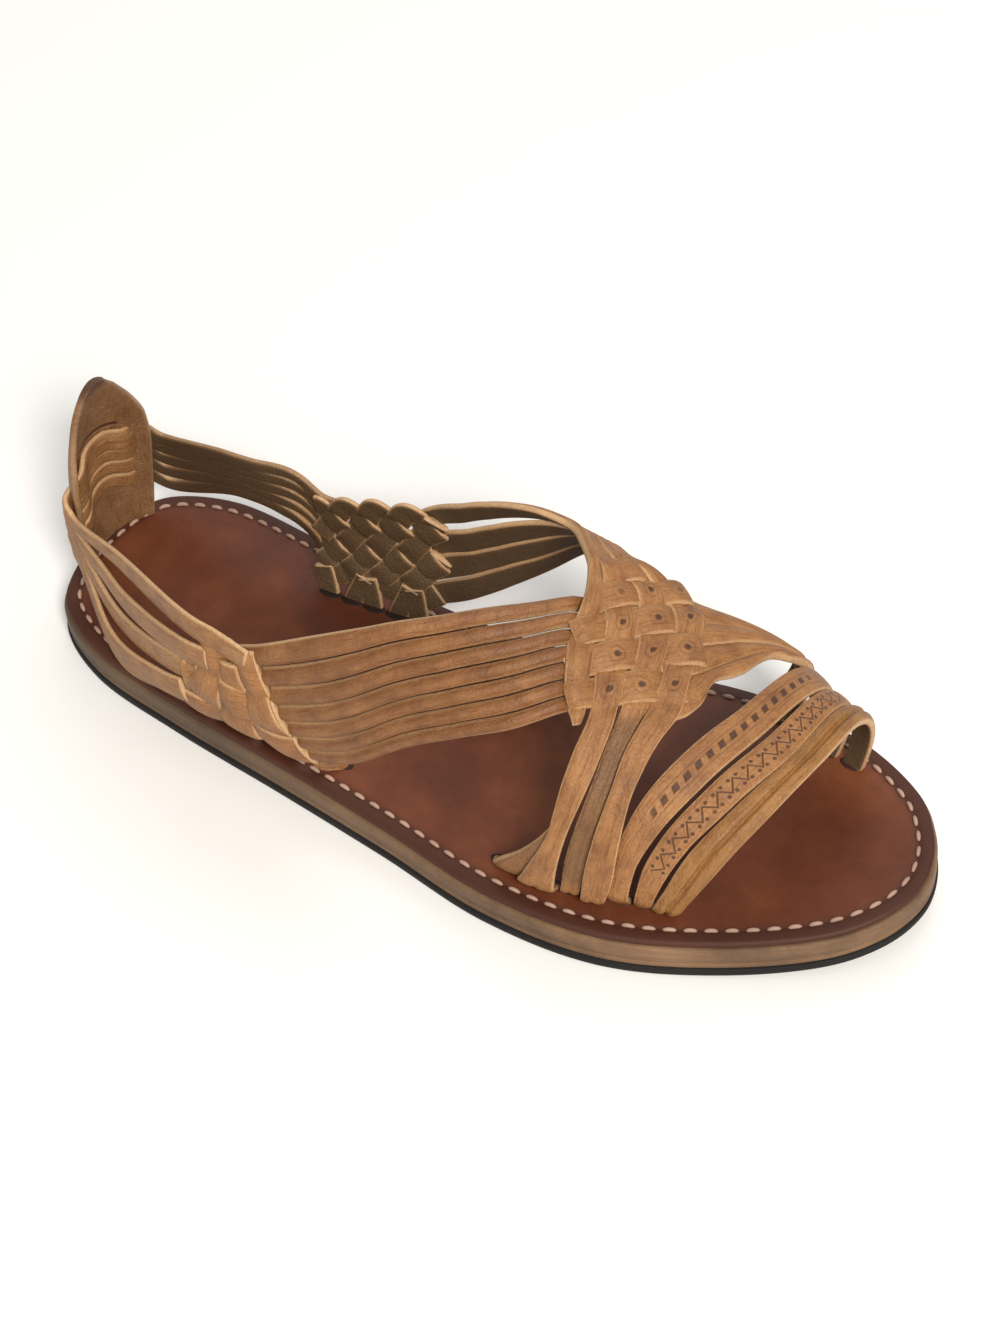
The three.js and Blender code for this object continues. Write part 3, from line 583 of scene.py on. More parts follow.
def makeStrapLeather(name, tan, dark, pale, fleshAndShade=strapLeather["fleshAndShade"], pattern=None):
    # Vegetable-tanned cowhide, cut in strips, rubbed with oil: fine pores, long darker streaks along
    # the strip, paler raw cut edges, a matt grey-brown flesh side darkened as painted shade, dark in the
    # stamped marks
    material, tree, shader = newMaterial(name)
    look = strapLeather
    place = addNode(tree, "TexCoord", None, None, "Object")
    cloud = addNode(tree, "TexNoise", None, {
        "Vector": place, "Scale": 1 / (look["clouds"] * mm), "Detail": 6.0, "Roughness": 0.68}, "Fac")
    blotch = addNode(tree, "TexNoise", None, {
        "Vector": place, "Scale": 1 / (look["blotches"] * mm), "Detail": 2.0, "Roughness": 0.5}, "Fac")
    fine = addNode(tree, "TexNoise", None, {
        "Vector": place, "Scale": 1 / (look["fine"] * mm), "Detail": 3.0}, "Fac")
    pores = addNode(tree, "TexVoronoi", None, {
        "Vector": place, "Scale": 1 / (look["pores"] * mm), "Randomness": 1.0}, "Distance")
    creases = addNode(tree, "TexVoronoi", {"feature": "DISTANCE_TO_EDGE"}, {
        "Vector": place, "Scale": 1 / (look["creases"] * mm), "Randomness": 1.0}, "Distance")
    uv = addNode(tree, "UVMap", {"uv_map": "strapMap"})
    long = addNode(tree, "Mapping", None, {
        "Vector": uv, "Scale": (*(1 / (size * mm) for size in look["streakSize"]), 1.0)})
    streak = addNode(tree, "TexNoise", {"noise_dimensions": "2D"}, {
        "Vector": long, "Scale": 1.0, "Detail": 3.0, "Roughness": 0.55}, "Fac")
    values = {
        "streak": streak,
        "pores": pores,
        "fine": fine,
        "crease": addNode(tree, "ValToRGB", {"stops": [(0.0, 1.0), (0.10, 0.0)]}, {"Fac": creases}),
        "edge": addNode(tree, "Attribute", {"attribute_name": "cutEdge"}, None, "Fac"),
    }
    workOut(tree, values, [
        ("cutShare", "MULTIPLY", "edge", look["cutShare"]),
        ("creaseShare", "MULTIPLY", "crease", look["creaseShare"]),
        ("height", "ADD", "pores", "fine"),
        ("height", "MULTIPLY_ADD", "crease", -0.5, "height"),
        ("height", "MULTIPLY_ADD", "streak", 1.1, "height"),
    ])
    layers = [
        (addNode(tree, "ValToRGB", {"stops": [(0.50, 0.0), (0.72, 0.62)]}, {"Fac": streak}), look["streak"]),
        (addNode(tree, "ValToRGB", {"stops": [(0.62, 0.0), (0.78, 0.25)]}, {"Fac": blotch}), dark),
        # flesh side, and the grain side where painted shade is asked for
        (addNode(tree, "Attribute", {"attribute_name": "fleshAndShade"}, None, "Fac"), fleshAndShade),
        (values["cutShare"], look["cut"]),
        (values["creaseShare"], look["streak"]),
    ]
    if pattern:
        stampUv = addNode(tree, "UVMap", {"uv_map": "stampMap"})
        values["x"] = addNode(tree, "SeparateXYZ", None, {"Vector": stampUv}, "X")
        values["y"] = addNode(tree, "SeparateXYZ", None, {"Vector": stampUv}, "Y")
        values["stamp"] = addNode(tree, "Attribute", {"attribute_name": "stamp"}, None, "Fac")
        workOut(tree, values, [("centred", "FRACT", "x"), ("centred", "SUBTRACT", "centred", 0.5)])
        workOut(tree, values, stampSteps[pattern] + [
            ("deep", "MULTIPLY", "mask", "stamp"),
            ("pitShare", "MULTIPLY", "deep", look["pitShare"]),
            ("height", "MULTIPLY_ADD", "deep", -4.0, "height"),
        ])
        layers.append((values["pitShare"], look["pit"]))
    colour = addNode(tree, "ValToRGB", {"stops": [(0.30, dark), (0.50, tan), (0.72, pale)]}, {"Fac": cloud})
    bump = addNode(tree, "Bump", None, {"Height": values["height"], "Strength": 0.45, "Distance": 0.35 * mm})
    gloss = addNode(tree, "MapRange", None, {
        "Value": cloud, "To Min": look["roughness"] - 0.1, "To Max": look["roughness"] + 0.16})
    linkLook(tree, shader, colour, layers, gloss, bump)
    shader.inputs["IOR"].default_value = 1.46
    return material


boardLeather = {
    "clouds": 38.0,  # mm
    "heelShade": "#3a3529",  # the midsole's edge is darker towards the heel
    "heelShare": 0.55,
    "rimShare": 0.8,
    "specular": 0.3,
}


def makeSmoothLeather(name, deep, mid, light, grain, roughness, bumpHeight, streakScale=None, rimColour=None):
    # Dyed and waxed leather board: soft cloudy colour, fine pores, a low polish
    material, tree, shader = newMaterial(name)
    look = boardLeather
    place = addNode(tree, "TexCoord", None, None, "Object")
    cloud = addNode(tree, "TexNoise", None, {
        "Vector": place, "Scale": 1 / (look["clouds"] * mm), "Detail": 5.0, "Roughness": 0.62}, "Fac")
    layers = []
    if streakScale:
        stretched = addNode(tree, "Mapping", None, {
            "Vector": place, "Scale": tuple(1 / (size * mm) for size in streakScale)})
        streak = addNode(tree, "TexNoise", None, {
            "Vector": stretched, "Scale": 1.0, "Detail": 4.0, "Roughness": 0.6}, "Fac")
        along = addNode(tree, "SeparateXYZ", None, {"Vector": place}, "Y")
        towardsHeel = addNode(tree, "MapRange", None, {
            "Value": along, "From Min": 0.06, "From Max": -0.06, "To Min": 0.0, "To Max": look["heelShare"]})
        layers = [
            (addNode(tree, "ValToRGB", {"stops": [(0.42, 0.0), (0.70, 0.35)]}, {"Fac": streak}), deep),
            (towardsHeel, look["heelShade"]),
        ]
    if rimColour:
        rim = addNode(tree, "Attribute", {"attribute_name": "cutEdge"}, None, "Fac")
        rimShare = addNode(tree, "Math", {"operation": "MULTIPLY"}, {0: rim, 1: look["rimShare"]})
        layers.append((rimShare, rimColour))
    pores = addNode(tree, "TexVoronoi", None, {
        "Vector": place, "Scale": 1 / (grain * mm), "Randomness": 1.0}, "Distance")
    fine = addNode(tree, "TexNoise", None, {
        "Vector": place, "Scale": 1 / (0.5 * grain * mm), "Detail": 3.0}, "Fac")
    height = addNode(tree, "Math", {"operation": "ADD"}, {0: pores, 1: fine})
    bump = addNode(tree, "Bump", None, {"Height": height, "Strength": 0.3, "Distance": bumpHeight * mm})
    gloss = addNode(tree, "MapRange", None, {
        "Value": cloud, "To Min": roughness - 0.08, "To Max": roughness + 0.12})
    colour = addNode(tree, "ValToRGB", {"stops": [(0.30, deep), (0.52, mid), (0.74, light)]}, {"Fac": cloud})
    linkLook(tree, shader, colour, layers, gloss, bump)
    shader.inputs["Specular IOR Level"].default_value = look["specular"]
    return material


tans = (strapLeather["tan"], strapLeather["dark"], strapLeather["pale"])
tanStrap = makeStrapLeather("tanStrapLeather", *tans)
bandStrap = makeStrapLeather("bandStrapLeather", "#80542d", "#673f20", "#96683c")
vampStrap = makeStrapLeather("vampStrapLeather", *tans, pattern="rounds")
pitStrap = makeStrapLeather("pittedStrapLeather", *tans, pattern="pits")
zigzagStrap = makeStrapLeather("zigzagStrapLeather", *tans, pattern="zigzag")
goldStrap = makeStrapLeather("goldStrapLeather", "#8f6331", "#7a5126", "#a3753e")
shadeStrap = makeStrapLeather("shadedStrapLeather", "#94693f", "#7a5533", "#a67c50", "#56432d")
tabLeather = makeStrapLeather("tabLeather", "#7f5c3c", "#6a4b2d", "#8f6c4b", pattern="slit")
# near-black patches on the footbed: painted shade inside the slots where straps go in
slotShadeMaterial = makeSmoothLeather("paintedSlotShadeMaterial", "#1c100b", "#2a1710", "#3a2117", 0.9, 0.6, 0.1)
waxedThread = makeSmoothLeather("waxedThread", "#8d6f60", "#a98a78", "#bd9f8c", 0.35, 0.6, 0.1)
footbedLeather = makeSmoothLeather(
    "footbedLeather", "#4b2414", "#63321c", "#7a4528", 1.1, 0.55, 0.12, rimColour="#3b1e13")
midsoleLeather = makeSmoothLeather(
    "midsoleEdgeLeather", "#4f3b29", "#7d5f44", "#957457", 0.9, 0.6, 0.25, (30, 30, 0.9))
soleRubber = makeSmoothLeather("soleRubber", "#0f0d0c", "#181513", "#221e1c", 0.7, 0.7, 0.2)
print("materials made")


# Sole layers

def outlinePoints(count):
    # Closed spline through the outline's points
    outer = np.stack([outlineOuter * sole["ballWidth"], outlineAlong * sole["length"]], -1)
    inner = np.stack([-outlineInner * sole["ballWidth"], outlineAlong * sole["length"]], -1)[::-1]
    knots = np.concatenate([[[0, 0]], outer, [[toeTip * sole["ballWidth"], sole["length"]]], inner])
    index = np.arange(len(knots))[:, None]
    curve = splinePieces(*(knots[(index + k) % len(knots)] for k in (-1, 0, 1, 2)), 60)
    return evenSteps(np.concatenate([curve, curve[:1]]), count, endpoint=False)


outlineCount = 480
outline = outlinePoints(outlineCount)


def insetOutline(inset):
    # Outline moved inwards along its own normal
    ahead = np.roll(outline, -2, axis=0) - np.roll(outline, 2, axis=0)
    ahead = ahead / np.linalg.norm(ahead, axis=1, keepdims=True)
    return outline + np.stack([-ahead[:, 1], ahead[:, 0]], -1) * np.reshape(inset, (-1, 1))


soleLook = {
    "stitchInset": 5.8,
    "stitchPitch": 5.5,
    "stitchLength": 2.9,
    "threadWidth": 1.45,
    "rubber": 2.7,  # height of the dark edge that shows
    "rim": 7.4,  # width of the darker rim outside the stitches
    "rimBlend": 1.5,
    "shrink": (0.05, 0.15, 0.3, 0.5, 0.7, 0.85, 0.98),  # rings on the flat sides, as shares of the way in
}


def layer(rings):
    # Slab from rings of (inset, height), closed below and above by the outline shrunk to its middle line
    def raised(flat, z):
        return np.column_stack([flat, z + toeLift(flat[:, 1])])

    def inwards(inset, z):
        flat = insetOutline(inset)
        middleX = np.interp(flat[:, 1], (0, sole["length"]), (-1, -5))
        spine = np.column_stack([middleX, np.clip(flat[:, 1], 34, 246)])
        return [raised(flat + (spine - flat) * share, z) for share in soleLook["shrink"]]

    walls = [raised(insetOutline(inset), z) for inset, z in rings]
    points = np.concatenate(inwards(*rings[0])[::-1] + walls + inwards(*rings[-1]))
    plain = [0.0] * len(soleLook["shrink"])
    rim = [np.clip((soleLook["rim"] - inset) / soleLook["rimBlend"], 0, 1) for inset, z in rings]
    shade = np.zeros((len(points), 3))
    shade[:, 0] = np.repeat(plain + rim + plain, outlineCount)
    faces = tubeFaces(len(points) // outlineCount, outlineCount)
    return {"points": points, "faces": faces, "uv": points[:, :2], "shade": shade}


rubberTop = soleLook["rubber"]
midLow = rubberTop + sole["gap"]
midHigh = sole["outsole"] + sole["gap"] + sole["midsole"]
inLow = midHigh + sole["gap"]

rubberRings = [(0.9, 0.0), (0.35, 0.12), (0.05, 0.5), (0.0, 1.2), (0.05, rubberTop - 0.4), (0.4, rubberTop)]
rubber = makeMesh("outsoleRubber", [layer(rubberRings)], soleRubber)
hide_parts("outsole")
middleRings = [
    (1.4, midLow), (0.75, midLow + 0.15), (0.5, midLow + 0.5), (0.45, midLow + 2.3), (0.75, midLow + 2.5),
    (0.5, midLow + 2.7), (0.6, midHigh - 2.2), (0.62, midHigh - 0.7), (0.95, midHigh - 0.2), (1.6, midHigh),
]
middle = makeMesh("midsoleLayers", [layer(middleRings)], midsoleLeather)
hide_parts("midsole")
footbedRings = [
    (2.0, inLow), (1.5, inLow + 0.3), (1.4, inLow + 1.0), (1.5, insoleTop - 0.6), (1.9, insoleTop - 0.15),
    (2.7, insoleTop), (4.6, insoleTop), (5.2, insoleTop - 0.12), (5.8, insoleTop - 0.3),
    (6.4, insoleTop - 0.12), (7.0, insoleTop), (8.2, insoleTop),
]
footbed = makeMesh("footbedLeather", [layer(footbedRings)], footbedLeather)
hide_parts("insole")
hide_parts("insole")
print("sole made")


# Outer band: seven ridged strips side by side, from the outer plait up to the vamp

def grooves(count, depth, spread):
    # Grooves pressed along a strap: exp(-(distance / spread)^2) at each place between its ridges
    def pressed(v, width):
        lines = [(k / count - 0.5) * width for k in range(1, count)]
        return sum(depth * np.exp(-((v - line) / spread) ** 2) for line in lines)
    return pressed


outerBand = {"strips": 7, "gap": 0.045, "thickness": 1.7, "dome": 1.3, "waver": 0.16}


def bandLift(waver, border):
    # Each strip wavers a little, starts under the plait and dives under the weave's edge strip
    def lift(at, u):
        start = 1 - blend(at, -0.1, 0.3)
        dive = 2.0 * blend(at, border - 0.15, border + 0.3)
        return waver * np.sin(u / 7.0 + 9 * waver) + 0.15 - start - dive
    return lift


parts = []
for k in range(outerBand["strips"]):
    low = (k + outerBand["gap"]) / outerBand["strips"]
    high = (k + 1 - outerBand["gap"]) / outerBand["strips"]
    waver = outerBand["waver"] * math.sin(2.3 * k + 0.7)
    parts.append(strap(
        routes["outerBand"], [(-0.12 - 0.05 * (k % 3), low, high), (6, low, high)], outerBand["thickness"],
        lift=bandLift(waver, 5.27 - 0.48 * (low + high) / 2), steps=150, columns=24, seed=31.0 * k,
        dome=outerBand["dome"]))
band = makeMesh("outerBand", parts, bandStrap)
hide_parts("upper")


# Over band: an edge strip and three wide straps from the inner plait over the instep to the outer
# footbed, woven on the vamp with straps that cross them

overBand = {
    "thickness": 2.1,
    "weaveStart": 4.985,
    "weaveEnd": 7.96,
    "rows": 5,
    "columnPitch": 0.31,
    "columnStart": np.array([(5.0, 0.15), (6.47, 0.057), (7.05, -0.018), (7.66, -0.123), (7.96, -0.17)]),
    "crossStart": (0.3, -0.25, -0.72, -0.74, -0.62),  # where each cross strap starts and ends, in columns
    "crossEnd": (2.6, 2.96, 3.06, 3.06, 3.06),
    "stamped": (0.0, 0.5, 1.0, 1.0, 1.0),  # how deep each cross strap is stamped
    "swing": 1.15,  # mm that a strap rises and sinks in the weave
    "stampCell": 16.0,  # mm to one length of the round stamps' pattern
    # the straps' two sides, as (row count, low share, high share)
    "edge": [
        (-0.25, 0.00, 0.15), (4.2, 0.00, 0.15), (5.0, -0.04, 0.13), (5.7, -0.07, 0.09), (6.4, -0.20, 0.03),
        (7.0, -0.26, -0.05), (7.6, -0.33, -0.13), (7.95, -0.35, -0.17), (8.22, -0.27, -0.19),
    ],
    "first": [
        (-0.3, 0.235, 0.455), (4.2, 0.235, 0.44), (5.0, 0.165, 0.43), (6.47, 0.075, 0.35), (7.05, 0.0, 0.275),
        (7.66, -0.105, 0.17), (8.1, -0.13, 0.14), (8.6, -0.17, 0.155), (9.15, -0.125, 0.185),
        (10, 0.03, 0.20), (11, 0.04, 0.28), (12, 0.065, 0.345),
    ],
    "second": [
        (-0.25, 0.475, 0.72), (4.6, 0.46, 0.70), (5.2, 0.455, 0.715), (6.47, 0.385, 0.655),
        (7.05, 0.31, 0.585), (7.66, 0.205, 0.48), (8.1, 0.18, 0.46), (8.6, 0.17, 0.44), (9.4, 0.22, 0.46),
        (10.2, 0.26, 0.45), (11.2, 0.33, 0.46), (12, 0.362, 0.472),
    ],
    "third": [
        (-0.3, 0.74, 0.99), (4.6, 0.725, 0.99), (5.2, 0.745, 1.0), (6.47, 0.695, 0.965), (7.05, 0.62, 0.895),
        (7.66, 0.515, 0.80), (7.96, 0.48, 0.83), (8.3, 0.43, 0.80), (8.6, 0.40, 0.73), (8.9, 0.396, 0.70),
        (9.4, 0.44, 0.67), (10.0, 0.45, 0.70), (10.6, 0.46, 0.69), (11.3, 0.48, 0.64), (12, 0.488, 0.61),
    ],
    "short": [(9.9, 0.02, 0.18), (10.6, -0.09, 0.11), (11.2, -0.17, 0.06), (11.9, -0.14, 0.05)],
}


def weaveCount(at):
    span = overBand["weaveEnd"] - overBand["weaveStart"]
    return (at - overBand["weaveStart"]) / span * overBand["rows"]


def weaveShare(at, column):
    start = np.interp(at, overBand["columnStart"][:, 0], overBand["columnStart"][:, 1])
    return start + column * overBand["columnPitch"]


def overLift(column, after):
    # In the weave swing x (1 + (-1)^column sin(pi s)), s in rows; level before it, "after" beyond it
    def lift(at, u):
        s, rows = weaveCount(at), overBand["rows"]
        woven = overBand["swing"] * (1 + (-1) ** column * np.sin(np.pi * s))
        inside = blend(s, -0.5, 0.2) * (1 - blend(s, rows - 0.3, rows + 0.4))
        beyond = after * blend(s, rows - 0.2, rows + 0.6) * (1 - 0.8 * blend(at, 11, 12))
        return woven * inside + beyond + 0.2 + footSwell(at) + plaitRise(at) - footSink(at)
    return lift


def plaitRise(at):
    # The over band starts on the outside of the inner plait
    return 3.2 * (1 - blend(at, 0.1, 1.3))


def footSink(at):
    # The slots are a little inside the edge of the last
    return 2.4 * blend(at, 11.2, 12)


def edgeLift(at, u):
    # Over the first two cross straps, then woven: swing x (1 - sin(pi s)), and last under the first strap
    s = weaveCount(at)
    woven = blend(s, 1.5, 2.0)
    level = 2.4 * blend(at, 4.4, 5.2) * (1 - woven) + overBand["swing"] * (1 - np.sin(np.pi * s)) * woven
    return 0.3 + level * (1 - blend(at, 8.0, 8.35)) + plaitRise(at)


def footSwell(at):
    # Each strap swells a little where it is folded to go down into its slot
    return 1.0 * np.exp(-((at - 11.55) / 0.28) ** 2)


def roundStamps(at, u):
    # Pattern place in weave rows, and 1 inside the weave
    s = weaveCount(at)
    pitch = np.gradient(u, axis=0) / np.gradient(s, axis=0)
    x = np.floor(s) + 0.5 + (s - np.floor(s) - 0.5) * pitch / overBand["stampCell"]
    return x, blend(s, 0.95, 1.05) * (1 - blend(s, overBand["rows"] - 0.02, overBand["rows"] + 0.02))


def overStrap(key, lift, paintedShade=None, **settings):
    return strap(routes["overBand"], overBand[key], overBand["thickness"], lift=lift, paintedShade=paintedShade, **settings)


parts = [
    overStrap("edge", edgeLift, steps=260, columns=22, seed=11.0, dome=0.6),
    # the short strap is painted 0.3 of the way to the flesh colour, as shade under the first strap
    overStrap("short", lambda at, u: 0.1 + footSwell(at) - footSink(at), lambda at: at * 0 + 0.3,
              steps=90, columns=22, seed=83.0),
]
# the second strap, lying lower between the first and third, is painted darker with the flesh colour as shade
# from row 8 to 11
for column, (key, after) in enumerate((("first", 2.3), ("second", 0.0), ("third", 2.5))):
    parts.append(overStrap(
        key, overLift(column, after),
        lambda at, c=column: 0.55 * blend(at, 8.0, 8.5) * (1 - blend(at, 10.8, 11.4)) * (c == 1),
        pressed=grooves(2, 0.45, 0.9), steps=340, columns=40, stamp=roundStamps, seed=53.0 * (column + 2)))
makeMesh("overBand", parts, vampStrap)

parts = []
step = (overBand["weaveEnd"] - overBand["weaveStart"]) / overBand["rows"]
for row in range(overBand["rows"]):
    # level: swing x (1 - (-1)^row sin(pi q)), q in columns, rising from its start and sinking to its end
    q = np.linspace(overBand["crossStart"][row], overBand["crossEnd"][row], 110)
    spot = overBand["weaveStart"] + (row + 0.5) * step + q * 0
    share = weaveShare(spot, q)
    level = overBand["swing"] * (1 - (-1) ** row * np.sin(np.pi * q)) * blend(q, q[0] - 0.2, q[0] + 0.25)
    level = level * (1 - 0.8 * blend(q, q[-1] - 0.21, q[-1])) + 0.2
    centre, normal = routeCurve(routes["overBand"], spot, share, level + overBand["thickness"] / 2)
    near, far = (routePoint(routes["overBand"], spot + side * step / 2, share, share * 0) for side in (-1, 1))
    width = np.linalg.norm(far - near, axis=1) * 0.96
    run = runAlong(centre)
    cell = np.floor(q) + 0.5
    stampX = cell + (run - np.interp(cell, q, run)) / overBand["stampCell"]
    stampShare = blend(q, 0.0, 0.05) * (1 - blend(q, 2.95, 3.0)) * overBand["stamped"][row]
    parts.append(ribbon(centre, normal, width, overBand["thickness"], 34, 17.0 * row, 0.36, stampShare, stampX))
makeMesh("crossStraps", parts, vampStrap)


# Through band: four strips from under the weave down to the inner footbed, the front one scalloped

throughBand = {
    "strips": 4,
    "gap": 0.02,
    "thickness": 2.0,
    "dome": 0.8,
    # (row count, share) along the front strip's scalloped edge
    "frontEdge": np.array([
        (-1.6, 1.04), (-0.98, 1.04), (-0.5, 0.99), (0.02, 1.03), (0.65, 1.01), (1.04, 0.875), (1.3, 0.885),
        (1.6, 0.94), (2.05, 0.97), (2.4, 0.90), (2.73, 0.82), (3.3, 0.93), (3.9, 0.88), (4.6, 0.97), (6, 0.98),
    ]),
}


def throughLift(k):
    # Every other strip lies a little higher, and the front one's end sinks under the over band
    def lift(at, u):
        return 0.15 + 0.4 * (k % 2) * blend(at, 0, 1.5) - 1.6 * (1 - blend(at, -1.35, -0.75))
    return lift


parts = []
for k in range(throughBand["strips"]):
    low = (k + throughBand["gap"]) / throughBand["strips"]
    high = (k + 1 - throughBand["gap"]) / throughBand["strips"]
    front = k == throughBand["strips"] - 1
    knots = np.linspace(-1.6 if front else -0.35, 6, 100)
    scalloped = np.interp(knots, *throughBand["frontEdge"].T)
    edges = np.stack([knots, low + knots * 0, scalloped if front else high + knots * 0], -1)
    parts.append(strap(
        routes["throughBand"], edges, throughBand["thickness"], steps=150, columns=24, seed=19.0 * k,
        dome=throughBand["dome"], lift=throughLift(k)))
makeMesh("throughBand", parts, tanStrap)


# Toe straps: the rear one stamped with square pits, the middle one with a zigzag, the front one ridged

toeStraps = {
    "thickness": 2.2,
    "pitPitch": 4.1,
    "zigzagPitch": 5.2,
    # the straps' two sides, as (row count, low share, high share)
    "rear": [
        (0, 0.85, 1.85), (0.5, 0.4, 1.45), (1.2, -0.1, 1.08), (2.5, -0.12, 1.12), (5, -0.1, 1.1), (7, 0, 1),
    ],
    "middle": [(0, 0.5, 1.2), (1.2, -0.05, 1.08), (2.5, -0.05, 1.14), (5, -0.05, 1.12), (7, 0, 1)],
    "front": [(0, -0.25, 0.85), (1, -0.12, 1.0), (2.5, -0.15, 1.04), (5, -0.1, 1.0), (7, 0, 1)],
}


def toeLevel(at, u):
    # Just over the last, swollen by the foot of the strap on the outer side
    return 0.15 + 0.9 * np.exp(-((at - 0.35) / 0.25) ** 2) - 2.4 * (1 - blend(at, 0.0, 0.6))


def stampAlong(pitch, first, last):
    def stamp(at, u):
        return u / pitch, blend(at, first, first + 0.2) * (1 - blend(at, last - 0.2, last))
    return stamp


rear = strap(
    routes["toeRear"], toeStraps["rear"], toeStraps["thickness"], lift=toeLevel, steps=240, columns=44,
    stamp=stampAlong(toeStraps["pitPitch"], 1.9, 5.0), seed=5.0)
makeMesh("toeStrapRear", [rear], pitStrap)
centre = strap(
    routes["toeMiddle"], toeStraps["middle"], toeStraps["thickness"], lift=toeLevel, steps=240, columns=44,
    stamp=stampAlong(toeStraps["zigzagPitch"], 1.2, 5.2), seed=23.0)
makeMesh("toeStrapMiddle", [centre], zigzagStrap)
front = strap(
    routes["toeFront"], toeStraps["front"], toeStraps["thickness"] + 0.2, lift=toeLevel, steps=240,
    columns=52, pressed=grooves(2, 1.3, 0.7), dome=0.9, seed=41.0)
makeMesh("toeStrapFront", [front], goldStrap)
print("straps made")


# Plaits: flat braids on the two sides, and the roots that go from them into the footbed

innerPlait = {
    "strands": 5,
    "passes": 1.5,
    "margin": 0.08,  # shares of the band's height below the plait, and taken by it
    "spread": 0.84,
    "fill": 0.97,
    "thickness": 1.7,
    "swing": 0.8,  # mm
    "base": 0.5,
}


def innerPlaitParts():
    # Strand k runs to and fro: p = s + 2k/n, c = the softened triangle wave of p; it rises and sinks as
    # +-cos(pi n c), the sign being its direction, which makes a plain weave of all the strands
    rows, n, passes = routes["innerPlait"], innerPlait["strands"], innerPlait["passes"]
    parts = []
    halfway = (rows[:, :2] + rows[:, 2:]) / 2
    ends = lastPoint(halfway[[0, -1], 0], halfway[[0, -1], 1])
    length = np.linalg.norm(ends[1] - ends[0])
    for k in range(n):
        s = np.linspace(0, passes, 150)
        p = s + 2 * k / n
        soft = 0.97
        c = 0.5 - np.arcsin(soft * np.cos(np.pi * p)) / (2 * math.asin(soft))
        direction = np.sign(np.sin(np.pi * p))
        window = blend(np.minimum(c, 1 - c), 0, 1 / (2 * n))
        level = innerPlait["swing"] * (1 + direction * np.cos(np.pi * n * c) * window) + innerPlait["base"]
        at = (len(rows) - 1) * s / passes
        share = innerPlait["margin"] + innerPlait["spread"] * c
        centre, normal = routeCurve(rows, at, share, level + innerPlait["thickness"] / 2)
        high, low = (lastPoint(*routePlace(rows, at, side)) for side in (0, 1))
        slope = np.linalg.norm(high - low, axis=1) * innerPlait["spread"] * passes / length
        width = 2 / n / passes * length * slope / np.sqrt(1 + slope * slope) * innerPlait["fill"]
        parts.append(ribbon(centre, normal, width, innerPlait["thickness"], 26, 13.0 * k, dome=0.5))
    return parts


roots = {
    "count": 5,
    "angle": 19,  # degrees up from the footbed, where they start
    "thickness": 1.8,
    "outer": (0.238, 0.385, 7.0),  # first and last share of the length, and the strips' width
    "inner": (0.262, 0.395, 6.4),
}


def rootParts(side):
    # Short strips from the plait's lower edge straight down into the footbed
    start, end, width = roots[side]
    t = np.linspace(0, 1, 24)
    angle = roots["angle"] * (1 - t) if side == "outer" else 180 - roots["angle"] * (1 - t)
    parts = []
    for k in range(roots["count"]):
        spot = start + (end - start) * (k + 0.5) / roots["count"]
        along = spot + 0.012 * (1 - t) * (1 if k % 2 else -1)
        normal = lastNormal(along, np.clip(angle, 0.5, 179.5))
        centre = lastPoint(along, angle) + normal * (1.1 + 0.5 * np.sin(np.pi * t))[:, None]
        centre[:, 2] -= 1.4 * blend(t, 0.6, 1.0)
        parts.append(ribbon(centre, normal, width, roots["thickness"], 18, 7.0 * k))
    return parts


outerPlait = {"strips": 3, "rows": 3, "start": (1.45, -0.2), "end": 3.1, "thickness": 1.9, "swing": 1.25}


def plaitStart(share):
    # The plait starts further forward along its top edge than along its lower one
    low, high = outerPlait["start"]
    return low + (high - low) * share


def slantedCount(at, share):
    # Weave rows passed, counted from the slanted start
    return (at - plaitStart(share)) / (outerPlait["end"] - plaitStart(share)) * outerPlait["rows"]


def outerPlaitParts():
    # Strip i rises as swing x (1 + (-1)^i sin(pi s)) and cross strip j as swing x (1 - (-1)^j sin(pi q))
    rows, n = routes["outerPlait"], outerPlait["strips"]
    parts = []
    for i in range(n):
        low, high = (i + 0.03) / n, (i + 0.97) / n

        def lift(at, u, share=(low + high) / 2, sign=(-1) ** i):
            return outerPlait["swing"] * (1 + sign * np.sin(np.pi * slantedCount(at, share))) + 0.4

        start = plaitStart((low + high) / 2) - 0.1
        parts.append(strap(
            rows, [(start, low, high), (3.15, low, high)], outerPlait["thickness"], lift=lift, dome=0.5,
            steps=130, columns=26, seed=13.0 * i))
    for j in range(outerPlait["rows"]):
        share = np.linspace(0.14, 0.97, 90)
        step = (outerPlait["end"] - plaitStart(share)) / outerPlait["rows"]
        spot = plaitStart(share) + (j + 0.5) * step
        q = share * n
        level = outerPlait["swing"] * (1 - (-1) ** j * np.sin(np.pi * q)) + 0.4
        level = level - 1.5 * (1 - blend(q, 0.0, 0.35)) - 1.5 * blend(q, n - 0.35, n)
        centre, normal = routeCurve(rows, spot, share, level + outerPlait["thickness"] / 2)
        near, far = (routePoint(rows, spot + side * step / 2, share, share * 0) for side in (-1, 1))
        width = np.linalg.norm(far - near, axis=1) * 0.92
        parts.append(ribbon(centre, normal, width, outerPlait["thickness"], 26, 47.0 * j, dome=0.5))
    return parts


